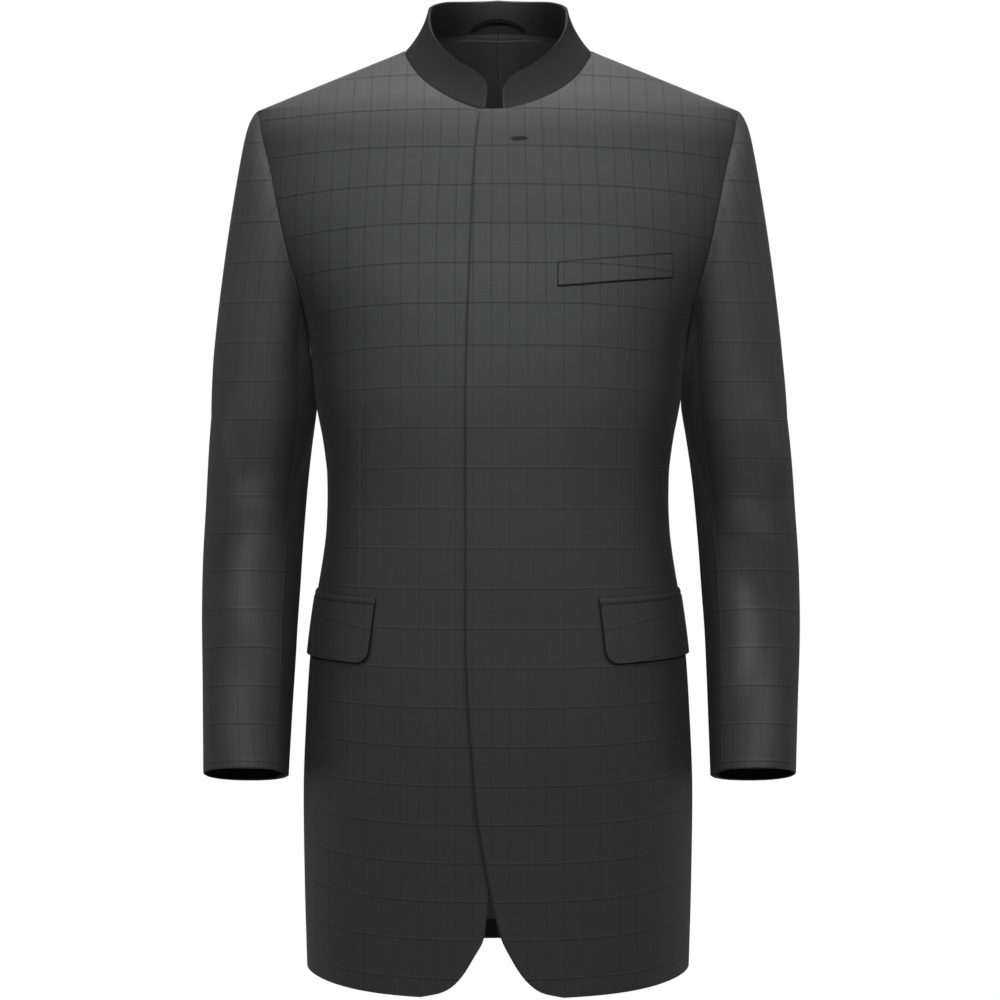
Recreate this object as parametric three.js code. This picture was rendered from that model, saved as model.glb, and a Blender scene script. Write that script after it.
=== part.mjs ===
import * as THREE from 'three';

// Long mandarin collar blazer, worn form with no wearer, in millimetres.
// +X is the wearer's left, -Y the front and +Z up. The origin lies midway between
// the two points where the shoulder seams meet the collar.

// Body
const SHOULDER_HALF_WIDTH = 231;
const SHOULDER_DROP = 58;
const NECK_HALF_WIDTH = 89;
const NECK_PIT_DROP = 66;
const NAPE_RISE = 24;
const NAPE_NARROWING = 11;
const NECKLINE_ROUNDNESS = 1.7;
const HEM_DROP = 879;
const BODY_WALL = 2;
const SHOULDER_ROUNDING = 30;
const SHOULDER_SEAM_CRISPNESS = 6;
const SIDE_SEAM_ANGLE = 96;
const SIDE_SEAM_EASE = 60;
const SEAM_GAP = 0.3;
const LAP_STEP = 1.3;
const LAP_FLAT = 20;
const LAP_END = 75;

// Armhole, a ring of points on the body: its top is the shoulder point
const ARMHOLE_BOTTOM = 275;
const ARMHOLE_SPREAD = 27;
const ARMHOLE_EGG = 0.15;
const ARMHOLE_POINTS = 18;

// Sleeve
const SLEEVE_WALL = 1.8;
const SLEEVE_SIDE_GAP = 0.6;
const SLEEVE_FRONT_SEAM = 7;
const SLEEVE_BACK_SEAM = 12;
const SLEEVE_SQUARENESS = 2.2;
const INNER_FLAT_FROM = -0.1;
const INNER_FLAT_TO = 0.82;
const INNER_FLAT_DEPTH = 0.28;
const HEAD_LIFT = 0.15;
const HEAD_LIFT_SPAN = 0.03;
const HEAD_ROUNDING = 1.5;
const HEAD_FULLNESS = 7;
const HEAD_FULLNESS_SPAN = 0.08;
const HEAD_FULLNESS_FADE = 1.5;
const UNDERARM_TUCK = 2.9;
const SEAM_RADIUS = 55;
const SURFACE_STEP = 0.01;

// Collar
const COLLAR_WALL = 3;
const COLLAR_SEAT = 0.3;
const COLLAR_TOP_HALF = 67.5;
const COLLAR_TOP_FRONT = 62;
const COLLAR_TOP_BACK = 60;
const COLLAR_HEIGHT = 41;
const COLLAR_CORNER = 18;
const COLLAR_END_LEFT = 6.2;
const COLLAR_END_RIGHT = 13.2;
const COLLAR_HOLLOW = 3;

// Hanger loop, flat on the collar's inner side
const LOOP_HALF_SPAN = 28;
const LOOP_RISE = 11;
const LOOP_FOOT = 1.5;
const LOOP_WIDTH = 5;
const LOOP_THICKNESS = 1.2;
const LOOP_GAP = 0.8;
const LOOP_STAND_OFF = 2.2;

// Pockets
const FLAP_LENGTH = 150;
const FLAP_HEIGHT = 54;
const FLAP_WALL = 2;
const FLAP_CORNER = 12;
const FLAP_SLANT = 6;
const FLAP_TILT = 5;
const FLAP_SPRING = 1.2;
const FLAP_TOP_DROP = 526;
const FLAP_START = { left: 94, right: 114 };
const JET_HEIGHT = 6.2;
const JET_WALL = 1.5;
const JET_PAST_FLAP = 1;
const WELT_WALL = 2;
const WELT_HEIGHT = 22;
const WELT_START = { x: 55, z: -232 };
const WELT_END = { x: 162, z: -222 };

// Back lining
const LINING_WALL = 1;
const LINING_GAP = 0.7;
const LINING_HEM_RISE = 19;
const LINING_NECK_DROP = 5;

// Rings of the body below the shoulder points: height and half width
const BODY_WIDTHS = [
  { z: -58, half: 231 },
  { z: -80, half: 232 },
  { z: -120, half: 229 },
  { z: -165, half: 222 },
  { z: -200, half: 212 },
  { z: -220, half: 203 },
  { z: -250, half: 189.5 },
  { z: -275, half: 181.5 },
  { z: -300, half: 178.6 },
  { z: -320, half: 176.6 },
  { z: -335, half: 174.9 },
  { z: -352, half: 171.8 },
  { z: -369, half: 168.4 },
  { z: -389, half: 165.5 },
  { z: -405, half: 163.9 },
  { z: -431, half: 163.4 },
  { z: -457, half: 164.4 },
  { z: -478, half: 166.7 },
  { z: -497, half: 169.6 },
  { z: -530, half: 175 },
  { z: -573, half: 179.6 },
  { z: -623, half: 183 },
  { z: -711, half: 186.3 },
  { z: -802, half: 185 },
  { z: -879, half: 182.8 },
];

// Depth of the body's rings in front of and behind the sides, and their squareness
const BODY_DEPTHS = [
  { z: 24, front: 42, back: 78, square: 2 },
  { z: 0, front: 45, back: 84, square: 2 },
  { z: -29, front: 57, back: 91, square: 2 },
  { z: -58, front: 82, back: 99, square: 2 },
  { z: -66, front: 87, back: 101, square: 2.02 },
  { z: -100, front: 101, back: 108, square: 2.1 },
  { z: -170, front: 118, back: 117, square: 2.35 },
  { z: -250, front: 125, back: 114, square: 2.45 },
  { z: -324, front: 124, back: 103, square: 2.4 },
  { z: -430, front: 116, back: 87, square: 2.25 },
  { z: -530, front: 120, back: 98, square: 2.2 },
  { z: -595, front: 126, back: 112, square: 2.2 },
  { z: -700, front: 133, back: 125, square: 2.2 },
  { z: -879, front: 142, back: 144, square: 2.25 },
];

// Front edges of the two fronts, as distance from the middle towards each front's own side
const FRONT_EDGES = [
  { z: -66, left: -17, right: 6 },
  { z: -70, left: -17.4, right: -17 },
  { z: -115, left: -21.8, right: -17 },
  { z: -194, left: -25.4, right: -17.5 },
  { z: -324, left: -29.4, right: -18 },
  { z: -560, left: -29.4, right: -18 },
  { z: -620, left: -27, right: -17 },
  { z: -683, left: -22.3, right: -13 },
  { z: -720, left: -18.7, right: -7 },
  { z: -752, left: -13.3, right: 0.5 },
  { z: -776, left: -8.9, right: 6.5 },
  { z: -798, left: -4, right: 10.3 },
  { z: -827, left: 3.3, right: 13.5 },
  { z: -847, left: 13, right: 23.7 },
  { z: -862, left: 22.8, right: 33.3 },
  { z: -872, left: 32.6, right: 43 },
  { z: -877, left: 44, right: 55 },
  { z: -879, left: 60, right: 71 },
];

// Rings of the sleeve from the underarm to the cuff: centre, half width, half depth and tilt
const SLEEVE_RINGS = [
  { z: -351, x: 227.7, y: 6, half: 50, depth: 66, tilt: 0, turn: -5 },
  { z: -431, x: 234.9, y: 9, half: 47.9, depth: 62, tilt: 2, turn: -4 },
  { z: -499, x: 239, y: 3, half: 47.1, depth: 58.5, tilt: 6, turn: -5 },
  { z: -564, x: 240.6, y: -9, half: 45, depth: 55, tilt: 10, turn: -4 },
  { z: -620, x: 240.4, y: -21, half: 42.7, depth: 52.5, tilt: 12, turn: 0 },
  { z: -689.5, x: 240.1, y: -37, half: 40.2, depth: 50, tilt: 13.5, turn: 10 },
];

// How far the sleeves lean towards the wearer's left, by height
const SLEEVE_LEAN = [
  { z: -295, lean: 0 },
  { z: -351, lean: 1.2 },
  { z: -431, lean: 2.3 },
  { z: -564, lean: 2.8 },
  { z: -640, lean: 2 },
  { z: -700, lean: 1.4 },
];

// Height of the collar's top edge by azimuth, from 0 in front to 180 behind, stored as z
const COLLAR_TOP = [
  { z: 0, top: -35 },
  { z: 23, top: -23 },
  { z: 42, top: -9 },
  { z: 54, top: 1 },
  { z: 67, top: 13 },
  { z: 79, top: 24 },
  { z: 90, top: 36 },
  { z: 97, top: 42 },
  { z: 115, top: 48.7 },
  { z: 135, top: 53.4 },
  { z: 180, top: 57.4 },
];

const clamp = THREE.MathUtils.clamp;
const ease = THREE.MathUtils.smoothstep;
const radians = THREE.MathUtils.degToRad;
const vector = (x, y, z) => new THREE.Vector3(x, y, z);

// A smooth curve through one column of a table that never overshoots its rows
function through(table, column) {
  const rows = [...table].sort((a, b) => a.z - b.z);
  const secants = rows.slice(1).map((row, i) => (row[column] - rows[i][column]) / (row.z - rows[i].z));
  const slopes = rows.map((_, i) => {
    const before = secants[Math.max(i - 1, 0)];
    const after = secants[Math.min(i, secants.length - 1)];
    return before * after > 0 ? (2 * before * after) / (before + after) : 0;
  });
  return (at) => {
    const place = clamp(at, rows[0].z, rows.at(-1).z);
    const i = clamp(rows.findIndex((row) => row.z > place) - 1, 0, rows.length - 2);
    const last = place >= rows.at(-1).z ? rows.length - 2 : i;
    const span = rows[last + 1].z - rows[last].z;
    const t = (place - rows[last].z) / span;
    const rise = t * t * (3 - 2 * t);
    return (
      rows[last][column] * (1 - rise) +
      rows[last + 1][column] * rise +
      slopes[last] * span * t * (1 - t) * (1 - t) -
      slopes[last + 1] * span * t * t * (1 - t)
    );
  };
}

const widthBelowShoulder = through(BODY_WIDTHS, 'half');
const bodyFront = through(BODY_DEPTHS, 'front');
const bodyBack = through(BODY_DEPTHS, 'back');
const bodySquare = through(BODY_DEPTHS, 'square');

const SHOULDER_SLOPE = (SHOULDER_HALF_WIDTH - NECK_HALF_WIDTH) / SHOULDER_DROP;

// The shoulder seams run straight from the neck to the shoulder points
function sideHalf(z) {
  if (z > 0) return NECK_HALF_WIDTH - (NAPE_NARROWING * z) / NAPE_RISE;
  if (z < -SHOULDER_DROP) return widthBelowShoulder(z);
  return NECK_HALF_WIDTH - SHOULDER_SLOPE * z;
}

// Half width of a ring. Away from the shoulder seam the shoulder turns over in a curve
function bodyHalf(angle, z) {
  const near = Math.max(SHOULDER_ROUNDING - Math.abs(z + SHOULDER_DROP), 0);
  const curve = (SHOULDER_SLOPE * near ** 2) / (4 * SHOULDER_ROUNDING);
  return sideHalf(z) - curve * (1 - Math.abs(Math.sin(angle)) ** SHOULDER_SEAM_CRISPNESS);
}

// A point of the body's outer surface: angle 0 is the middle of the front, pi/2 the left side
function bodyPoint(angle, z) {
  const n = bodySquare(z);
  const across = Math.sin(angle);
  const along = Math.cos(angle);
  const scale = (Math.abs(across) ** n + Math.abs(along) ** n) ** (1 / n);
  const depth = along > 0 ? bodyFront(z) : bodyBack(z);
  return vector((bodyHalf(angle, z) * across) / scale, (-depth * along) / scale, z);
}

function normalOf(surface, u, v, stepU, stepV) {
  const along = surface(u + stepU, v).sub(surface(u - stepU, v));
  const up = surface(u, v + stepV).sub(surface(u, v - stepV));
  return along.cross(up).normalize();
}

const bodyNormal = (angle, z) => normalOf(bodyPoint, angle, z, 0.01, 1.5);

const ANGLE_TRIES = 6;

// Angle on the front half of a ring at which it lies x from the middle
function frontAngle(x, z) {
  const n = bodySquare(z);
  let angle = 0;
  for (let i = 0; i < ANGLE_TRIES; i += 1) {
    const share = clamp(Math.abs(x) / bodyHalf(angle, z), 0, 1) ** n;
    angle = Math.atan2(share ** (1 / n), (1 - share) ** (1 / n));
  }
  return Math.sign(x) * angle;
}

// Angle of a point that lies on a ring or near it
function angleOf(point) {
  const depth = point.y < 0 ? bodyFront(point.z) : bodyBack(point.z);
  let angle = Math.PI / 2;
  for (let i = 0; i < ANGLE_TRIES; i += 1) {
    angle = Math.atan2(point.x / bodyHalf(angle, point.z), -point.y / depth);
  }
  return angle;
}

// Neckline of one side: a rounded curve in front, and a shallow one that rises to the nape behind
function necklineAngle(z) {
  if (z >= 0) return Math.PI / 2 + Math.asin(clamp(z / NAPE_RISE, 0, 1));
  const drop = clamp(-z / NECK_PIT_DROP, 0, 1) ** NECKLINE_ROUNDNESS;
  return frontAngle(NECK_HALF_WIDTH * (1 - drop) ** (1 / NECKLINE_ROUNDNESS), z);
}

// Points of the armhole of the left side, from the shoulder point down the front and up the back
const ARMHOLE_MIDDLE = (ARMHOLE_BOTTOM + SHOULDER_DROP) / 2;
const ARMHOLE_REACH = (ARMHOLE_BOTTOM - SHOULDER_DROP) / 2;
const armholeHeight = (turn) => -ARMHOLE_MIDDLE + ARMHOLE_REACH * Math.cos(turn);

function armholeAngle(turn) {
  const spread = radians(ARMHOLE_SPREAD) * Math.sin(turn);
  return Math.PI / 2 - spread * (1 - ARMHOLE_EGG * Math.cos(turn));
}

function armholePoint(turn) {
  return bodyPoint(armholeAngle(turn), armholeHeight(turn));
}

const armholeTurns = Array.from({ length: ARMHOLE_POINTS + 1 }, (_, i) => (i * 2 * Math.PI) / ARMHOLE_POINTS);
const armhole = armholeTurns.map(armholePoint);

// Where the straight stretches between the armhole's points cross a height, on its front or back
function armholeCrossing(z, isBack) {
  const half = ARMHOLE_POINTS / 2;
  const branch = isBack ? armhole.slice(half).reverse() : armhole.slice(0, half + 1);
  const i = clamp(branch.findIndex((point) => point.z <= z), 1, half);
  const t = clamp((branch[i - 1].z - z) / (branch[i - 1].z - branch[i].z), 0, 1);
  return branch[i - 1].clone().lerp(branch[i], t);
}

// Heights of the panels' rows, from the hem up
const HEM_STEPS = [0, 1, 3, 7, 14, 24, 37, 52, 72, 98];
const SKIRT_ROWS = 10;
const SKIRT_TOP = -300;
const PIT_ROWS = [-70, -66, -65.6, -61.5, -58];
const SHOULDER_ROWS = [-53, -46, -38, -29, -19, -9, -3, 0];
const NAPE_ROWS = [5, 12, 18, 22, 24];

function evenly(low, high, count) {
  return Array.from({ length: count + 1 }, (_, i) => low + ((high - low) * i) / count);
}

function panelRows() {
  const hem = HEM_STEPS.map((step) => step - HEM_DROP);
  const skirt = evenly(hem.at(-1), SKIRT_TOP, SKIRT_ROWS).slice(1);
  const arm = armhole.slice(1, ARMHOLE_POINTS / 2 + 1).map((point) => point.z);
  return [...hem, ...skirt, ...arm, ...PIT_ROWS, ...SHOULDER_ROWS].sort((a, b) => a - b);
}

const ROWS = panelRows();

// Angles that part one ring into stretches of equal length, with a little left off at each end
function evenAngles(z, from, to, count, trimFrom, trimTo) {
  const samples = 120;
  const angles = evenly(from, to, samples);
  const points = angles.map((angle) => bodyPoint(angle, z));
  const reach = [0];
  for (let i = 1; i <= samples; i += 1) reach.push(reach[i - 1] + points[i].distanceTo(points[i - 1]));
  const length = reach.at(-1);
  if (length < 1e-6) return Array(count + 1).fill(from);
  return evenly(trimFrom, Math.max(length - trimTo, trimFrom), count).map((want) => {
    const i = clamp(reach.filter((at) => at < want).length, 1, samples);
    const t = clamp((want - reach[i - 1]) / (reach[i] - reach[i - 1]), 0, 1);
    return angles[i - 1] + (angles[i] - angles[i - 1]) * t;
  });
}

// Angle reached after going a length along a ring
function angleAfter(z, from, length) {
  let angle = from;
  let left = length;
  const step = 0.01;
  while (left > 0) {
    const stretch = bodyPoint(angle + step, z).distanceTo(bodyPoint(angle, z));
    angle += step * Math.min(1, left / stretch);
    left -= stretch;
  }
  return angle;
}

// A closed wall between two grids of points, outer and inner, with its four edges
function wallGeometry(outer, inner) {
  const rows = outer.length;
  const columns = outer[0].length;
  const points = [...outer.flat(), ...inner.flat()];
  const at = (layer, row, column) => (layer * rows + row) * columns + column;
  const faces = [];
  const quad = (a, b, c, d) => {
    faces.push([a, b, c], [a, c, d]);
  };
  for (let r = 0; r < rows - 1; r += 1) {
    for (let c = 0; c < columns - 1; c += 1) {
      quad(at(0, r, c), at(0, r, c + 1), at(0, r + 1, c + 1), at(0, r + 1, c));
      quad(at(1, r, c), at(1, r + 1, c), at(1, r + 1, c + 1), at(1, r, c + 1));
    }
    const e = columns - 1;
    quad(at(0, r, 0), at(0, r + 1, 0), at(1, r + 1, 0), at(1, r, 0));
    quad(at(0, r, e), at(1, r, e), at(1, r + 1, e), at(0, r + 1, e));
  }
  for (let c = 0; c < columns - 1; c += 1) {
    const e = rows - 1;
    quad(at(0, 0, c), at(1, 0, c), at(1, 0, c + 1), at(0, 0, c + 1));
    quad(at(0, e, c), at(0, e, c + 1), at(1, e, c + 1), at(1, e, c));
  }
  const apart = (a, b) => points[a].distanceTo(points[b]) > 1e-4;
  const real = faces.filter(([a, b, c]) => apart(a, b) && apart(b, c) && apart(c, a));
  const volume = real.reduce(
    (sum, [a, b, c]) => sum + points[a].dot(vector(0, 0, 0).crossVectors(points[b], points[c])),
    0,
  );
  const index = real.flatMap(([a, b, c]) => (volume < 0 ? [a, c, b] : [a, b, c]));
  const geometry = new THREE.BufferGeometry();
  geometry.setAttribute('position', new THREE.Float32BufferAttribute(points.flatMap((p) => [p.x, p.y, p.z]), 3));
  geometry.setIndex(index);
  geometry.computeVertexNormals();
  return geometry;
}

const cloth = new THREE.MeshStandardMaterial({ color: 0x3b3b3c, roughness: 0.85, metalness: 0 });
const collarCloth = new THREE.MeshStandardMaterial({ color: 0x333334, roughness: 0.85, metalness: 0 });
const liningCloth = new THREE.MeshStandardMaterial({ color: 0x262627, roughness: 0.55, metalness: 0 });

const blazer = new THREE.Group();
const SIDES = { left: 1, right: -1 };

function addWall(name, outer, inner, material, side) {
  const place = (point) => vector(point.x * side, point.y, point.z);
  const geometry = wallGeometry(outer.map((row) => row.map(place)), inner.map((row) => row.map(place)));
  const mesh = new THREE.Mesh(geometry, material);
  mesh.name = name;
  blazer.add(mesh);
}

// A grid of a panel that carries, for each point, its place on the body and how far it stands out
function layers(grid, wall) {
  const move = (cell, distance) => cell.point.clone().addScaledVector(cell.normal, distance);
  return {
    outer: grid.map((row) => row.map((cell) => move(cell, cell.rise))),
    inner: grid.map((row) => row.map((cell) => move(cell, cell.rise - wall))),
  };
}

const sideSeamAngle = (z) => {
  const open = ease(-z, ARMHOLE_BOTTOM, ARMHOLE_BOTTOM + SIDE_SEAM_EASE);
  return Math.PI / 2 + radians(SIDE_SEAM_ANGLE - 90) * open;
};

function outerLimit(z) {
  if (z >= -SHOULDER_DROP) return Math.PI / 2;
  return sideSeamAngle(z);
}

// One row of a panel's cells from one angle to another. Along the armhole the row ends on its ring
function panelRow(z, from, to, columns, rise, isBack) {
  const atArmhole = z < -SHOULDER_DROP - 0.01 && z > -ARMHOLE_BOTTOM + 0.01;
  const crossing = atArmhole ? armholeCrossing(z, isBack) : null;
  const end = crossing ? angleOf(crossing) : to;
  const trim = SEAM_GAP / 2;
  const angles = evenAngles(z, from, end, columns, isBack ? trim : 0, crossing ? 0 : trim);
  return angles.map((angle, c) => {
    const point = bodyPoint(angle, z);
    if (crossing && c === columns) point.copy(crossing);
    const below = z >= 0 && !isBack ? -1.5 : 0;
    return { point, normal: bodyNormal(angle, z + below), rise: rise(point) };
  });
}

const lapShare = (point) => 1 - ease(point.x, LAP_FLAT, LAP_END);
const FRONT_COLUMNS = 12;
const BACK_COLUMNS = 10;

// Fronts: from the front edge or neckline to the side seam, armhole or shoulder seam
function frontGrid(sideName) {
  const edge = through(FRONT_EDGES, sideName);
  const direction = SIDES[sideName];
  const rise = (point) => direction * LAP_STEP * lapShare(point);
  return ROWS.map((z) => {
    const from = z >= -NECK_PIT_DROP + 0.01 ? necklineAngle(z) : frontAngle(edge(z), z);
    return panelRow(z, from, outerLimit(z), FRONT_COLUMNS, rise, false);
  });
}

// Backs: from the centre back seam to the side seam, armhole, shoulder seam or neckline
function backGrid() {
  const flat = () => 0;
  return [...ROWS, ...NAPE_ROWS].map((z) => {
    const to = z > 0 ? necklineAngle(z) : outerLimit(z);
    return panelRow(z, Math.PI, to, BACK_COLUMNS, flat, true);
  });
}

const frontCells = { left: frontGrid('left'), right: frontGrid('right') };
const backCells = backGrid();

for (const [sideName, side] of Object.entries(SIDES)) {
  const front = layers(frontCells[sideName], BODY_WALL);
  addWall(`front_${sideName}`, front.outer, front.inner, cloth, side);
  const back = layers(backCells, BODY_WALL);
  addWall(`back_${sideName}`, back.outer, back.inner, cloth, side);
}

// Back lining: the backs' own points, moved in, on every second column
function liningRow(row, side) {
  const cells = row.filter((_, c) => c % 2 === 0);
  return cells.map((cell) => ({
    point: vector(cell.point.x * side, cell.point.y, cell.point.z),
    normal: vector(cell.normal.x * side, cell.normal.y, cell.normal.z),
    rise: -BODY_WALL - LINING_GAP,
  }));
}

function liningGrid() {
  const lowest = -HEM_DROP + LINING_HEM_RISE;
  const rows = backCells.filter((row) => row[0].point.z > lowest && row[0].point.z < NAPE_RISE - LINING_NECK_DROP);
  return rows.map((row) => [...liningRow(row, 1).reverse(), ...liningRow(row, -1).slice(1)]);
}

const lining = layers(liningGrid(), LINING_WALL);
addWall('lining_back', lining.outer, lining.inner, liningCloth, 1);

// Sleeves. The turn goes from the outer side over the front to the inner side and the back
const sleeveCurves = Object.fromEntries(
  ['x', 'y', 'half', 'depth', 'tilt', 'turn'].map((column) => [column, through(SLEEVE_RINGS, column)]),
);
const UNDERARM = SLEEVE_RINGS[0].z;
const CUFF = SLEEVE_RINGS.at(-1).z;

function sleeveRing(turn, z) {
  const real = turn + radians(sleeveCurves.turn(z)) * Math.abs(Math.sin(turn / 2));
  const across = Math.cos(real);
  const along = Math.sin(real);
  const n = SLEEVE_SQUARENESS;
  const scale = (Math.abs(across) ** n + Math.abs(along) ** n) ** (1 / n);
  const ahead = along / scale;
  const forward = sleeveCurves.depth(z) * ahead;
  const flat = (INNER_FLAT_DEPTH * (ahead - INNER_FLAT_FROM)) / (INNER_FLAT_TO - INNER_FLAT_FROM) - 1;
  const tilt = radians(sleeveCurves.tilt(z));
  return vector(
    sleeveCurves.x(z) + sleeveCurves.half(z) * Math.max(across / scale, flat),
    sleeveCurves.y(z) - forward * Math.cos(tilt),
    z + forward * Math.sin(tilt),
  );
}

// Down to 1 the sleeve's head opens from the armhole into the upper ring, and to 2 it goes on to the cuff
function sleevePoint(turn, down) {
  if (down >= 1) return sleeveRing(turn, UNDERARM + (CUFF - UNDERARM) * (down - 1));
  const start = armholePoint(turn).add(vector(SLEEVE_SIDE_GAP, 0, 0));
  const end = sleeveRing(turn, UNDERARM);
  const outer = Math.cos(turn / 2) ** 2;
  const lift = HEAD_LIFT * outer * (1 - Math.exp(-down / HEAD_LIFT_SPAN));
  const round = 1 - (1 - down) ** (1 + (HEAD_ROUNDING - 1) * outer);
  const share = lift + (1 - HEAD_LIFT * outer) * round;
  const point = start.clone().lerp(end, share);
  point.z = start.z + (end.z - start.z) * down;
  const full = HEAD_FULLNESS * (1 - Math.exp(-down / HEAD_FULLNESS_SPAN)) * (1 - down) ** HEAD_FULLNESS_FADE;
  point.y -= full * Math.sin(turn);
  point.x += 0.5 * full * Math.abs(Math.sin(turn));
  point.x -= UNDERARM_TUCK * Math.max(0, -Math.cos(turn)) ** 4 * Math.sin(Math.PI * down * down);
  return point;
}

const HEAD_ROWS = [0, 0.03, 0.08, 0.16, 0.28, 0.42, 0.58, 0.78, 1];
const ARM_ROWS = evenly(1, 2, 7).slice(1);

function sleeveCell(turn, down) {
  const point = sleevePoint(turn, down);
  const at = clamp(down, SURFACE_STEP, 2 - SURFACE_STEP);
  const own = normalOf(sleevePoint, turn, at, SURFACE_STEP, SURFACE_STEP);
  if (down > 0) return { point, normal: own, rise: 0 };
  const seam = bodyNormal(armholeAngle(turn), armholeHeight(turn));
  const share = ease(Math.cos(turn), -0.75, -0.1);
  return { point, normal: own.multiplyScalar(1 - share).addScaledVector(seam, share).normalize(), rise: 0 };
}

function sleeveGrid(first, last) {
  const trim = SEAM_GAP / 2 / SEAM_RADIUS;
  const turns = [];
  for (let k = first; k <= last; k += 1) turns.push((k * 2 * Math.PI) / ARMHOLE_POINTS);
  turns[0] += trim;
  turns[turns.length - 1] -= trim;
  return [...HEAD_ROWS, ...ARM_ROWS].map((down) => turns.map((turn) => sleeveCell(turn, down)));
}

const sleeveLean = through(SLEEVE_LEAN, 'lean');

function leaning(grid, side) {
  return grid.map((row) => row.map((point) => point.clone().add(vector(side * sleeveLean(point.z), 0, 0))));
}

for (const [sideName, side] of Object.entries(SIDES)) {
  const top = layers(sleeveGrid(SLEEVE_BACK_SEAM - ARMHOLE_POINTS, SLEEVE_FRONT_SEAM), SLEEVE_WALL);
  addWall(`sleeve_top_${sideName}`, leaning(top.outer, side), leaning(top.inner, side), cloth, side);
  const under = layers(sleeveGrid(SLEEVE_FRONT_SEAM, SLEEVE_BACK_SEAM), SLEEVE_WALL);
  addWall(`sleeve_under_${sideName}`, leaning(under.outer, side), leaning(under.inner, side), cloth, side);
}

// Collar. Its foot follows the neckline's points, its top edge a smaller and higher ring
const collarTopHeight = through(COLLAR_TOP, 'top');
const azimuthOf = (point) => Math.atan2(point.x, -point.y);

function seatOf(z) {
  const angle = necklineAngle(z);
  const point = bodyPoint(angle, z);
  const inward = vector(-point.x, -point.y, 0).normalize().multiplyScalar(COLLAR_SEAT);
  const normal = bodyNormal(angle, z >= 0 ? Math.max(z, 2) : z - 1.5);
  return { point: point.clone().add(inward).add(vector(0, 0, COLLAR_SEAT)), normal, azimuth: azimuthOf(point) };
}

const SEAT_FINE = [...evenly(-NECK_PIT_DROP, 0, 80), ...evenly(0, NAPE_RISE, 40).slice(1)].map(seatOf);

function seatAt(azimuth) {
  const i = clamp(SEAT_FINE.filter((seat) => seat.azimuth < azimuth).length, 1, SEAT_FINE.length - 1);
  const [low, high] = [SEAT_FINE[i - 1], SEAT_FINE[i]];
  const t = clamp((azimuth - low.azimuth) / (high.azimuth - low.azimuth), 0, 1);
  return low.point.clone().lerp(high.point, t);
}

// A point of the collar's outer side on the left half, by azimuth and share of its height
function collarPoint(azimuth, share) {
  const foot = seatAt(azimuth);
  const depth = azimuth < Math.PI / 2 ? COLLAR_TOP_FRONT : COLLAR_TOP_BACK;
  const top = vector(
    COLLAR_TOP_HALF * Math.sin(azimuth),
    -depth * Math.cos(azimuth),
    collarTopHeight(THREE.MathUtils.radToDeg(azimuth)),
  );
  const inward = vector(-foot.x, -foot.y, 0).normalize();
  return foot.lerp(top, share).addScaledVector(inward, COLLAR_HOLLOW * 4 * share * (1 - share));
}

function collarNormal(azimuth, share) {
  const at = clamp(azimuth, 0.03, Math.PI - 0.03);
  return normalOf(collarPoint, at, clamp(share, 0.02, 0.98), 0.02, 0.02);
}

// The front corners are rounded: how far the end lies back from the gap at a share of the height
function cornerBack(share) {
  const above = (share - 1) * COLLAR_HEIGHT + COLLAR_CORNER;
  return above <= 0 ? 0 : COLLAR_CORNER - Math.sqrt(Math.max(COLLAR_CORNER ** 2 - above ** 2, 0));
}

const COLLAR_ROWS = [0, 0.28, 0.56, 0.72, 0.85, 0.94, 1];

function collarSeats(end) {
  const heights = [...ROWS.filter((z) => z > -NECK_PIT_DROP + 0.01), ...NAPE_ROWS];
  const seats = heights.map(seatOf).filter((seat) => seat.point.x > end + 1 || seat.azimuth > 1);
  const first = SEAT_FINE.find((seat) => seat.point.x >= end);
  return [first, ...seats];
}

function collarHalf(end) {
  const seats = collarSeats(end);
  const start = seats[0].azimuth;
  const fixed = Math.PI / 2;
  return COLLAR_ROWS.map((share) => {
    const pulled = start + cornerBack(share) / bodyFront(-NECK_PIT_DROP);
    return seats.map((seat) => {
      if (share === 0) return { point: seat.point.clone(), normal: seat.normal, rise: 0 };
      const t = clamp((fixed - seat.azimuth) / (fixed - start), 0, 1);
      const azimuth = seat.azimuth + (pulled - start) * t;
      return { point: collarPoint(azimuth, share), normal: collarNormal(azimuth, share), rise: 0 };
    });
  });
}

function mirrored(cell) {
  return {
    point: vector(-cell.point.x, cell.point.y, cell.point.z),
    normal: vector(-cell.normal.x, cell.normal.y, cell.normal.z),
    rise: cell.rise,
  };
}

function collarGrid() {
  const left = collarHalf(COLLAR_END_LEFT);
  const right = collarHalf(COLLAR_END_RIGHT);
  return left.map((row, r) => {
    const back = row.at(-1);
    back.point.x = 0;
    back.normal.x = 0;
    back.normal.normalize();
    return [...row, ...right[r].slice(0, -1).map(mirrored).reverse()];
  });
}

const collar = layers(collarGrid(), COLLAR_WALL);
addWall('collar', collar.outer, collar.inner, collarCloth, 1);

// Hanger loop: half an oval band that stands a little off the collar's inner side
function loopGrid() {
  const foot = seatOf(NAPE_RISE).point;
  const radius = foot.y;
  return [-0.5, 0.5].map((across) =>
    evenly(0, Math.PI, 12).map((turn) => {
      const span = (LOOP_HALF_SPAN + across * LOOP_WIDTH) * Math.cos(turn);
      const rise = LOOP_FOOT + (LOOP_RISE + across * LOOP_WIDTH) * Math.sin(turn);
      const azimuth = Math.PI - Math.abs(span) / radius;
      const share = rise / COLLAR_HEIGHT;
      const point = collarPoint(azimuth, share);
      const normal = collarNormal(azimuth, share);
      const cell = { point, normal, rise: -COLLAR_WALL - LOOP_GAP - LOOP_STAND_OFF * Math.sin(turn) ** 2 };
      return span < 0 ? mirrored(cell) : cell;
    }),
  );
}

const loop = layers(loopGrid(), LOOP_THICKNESS);
addWall('hanger_loop', loop.outer, loop.inner, collarCloth, 1);

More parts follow.
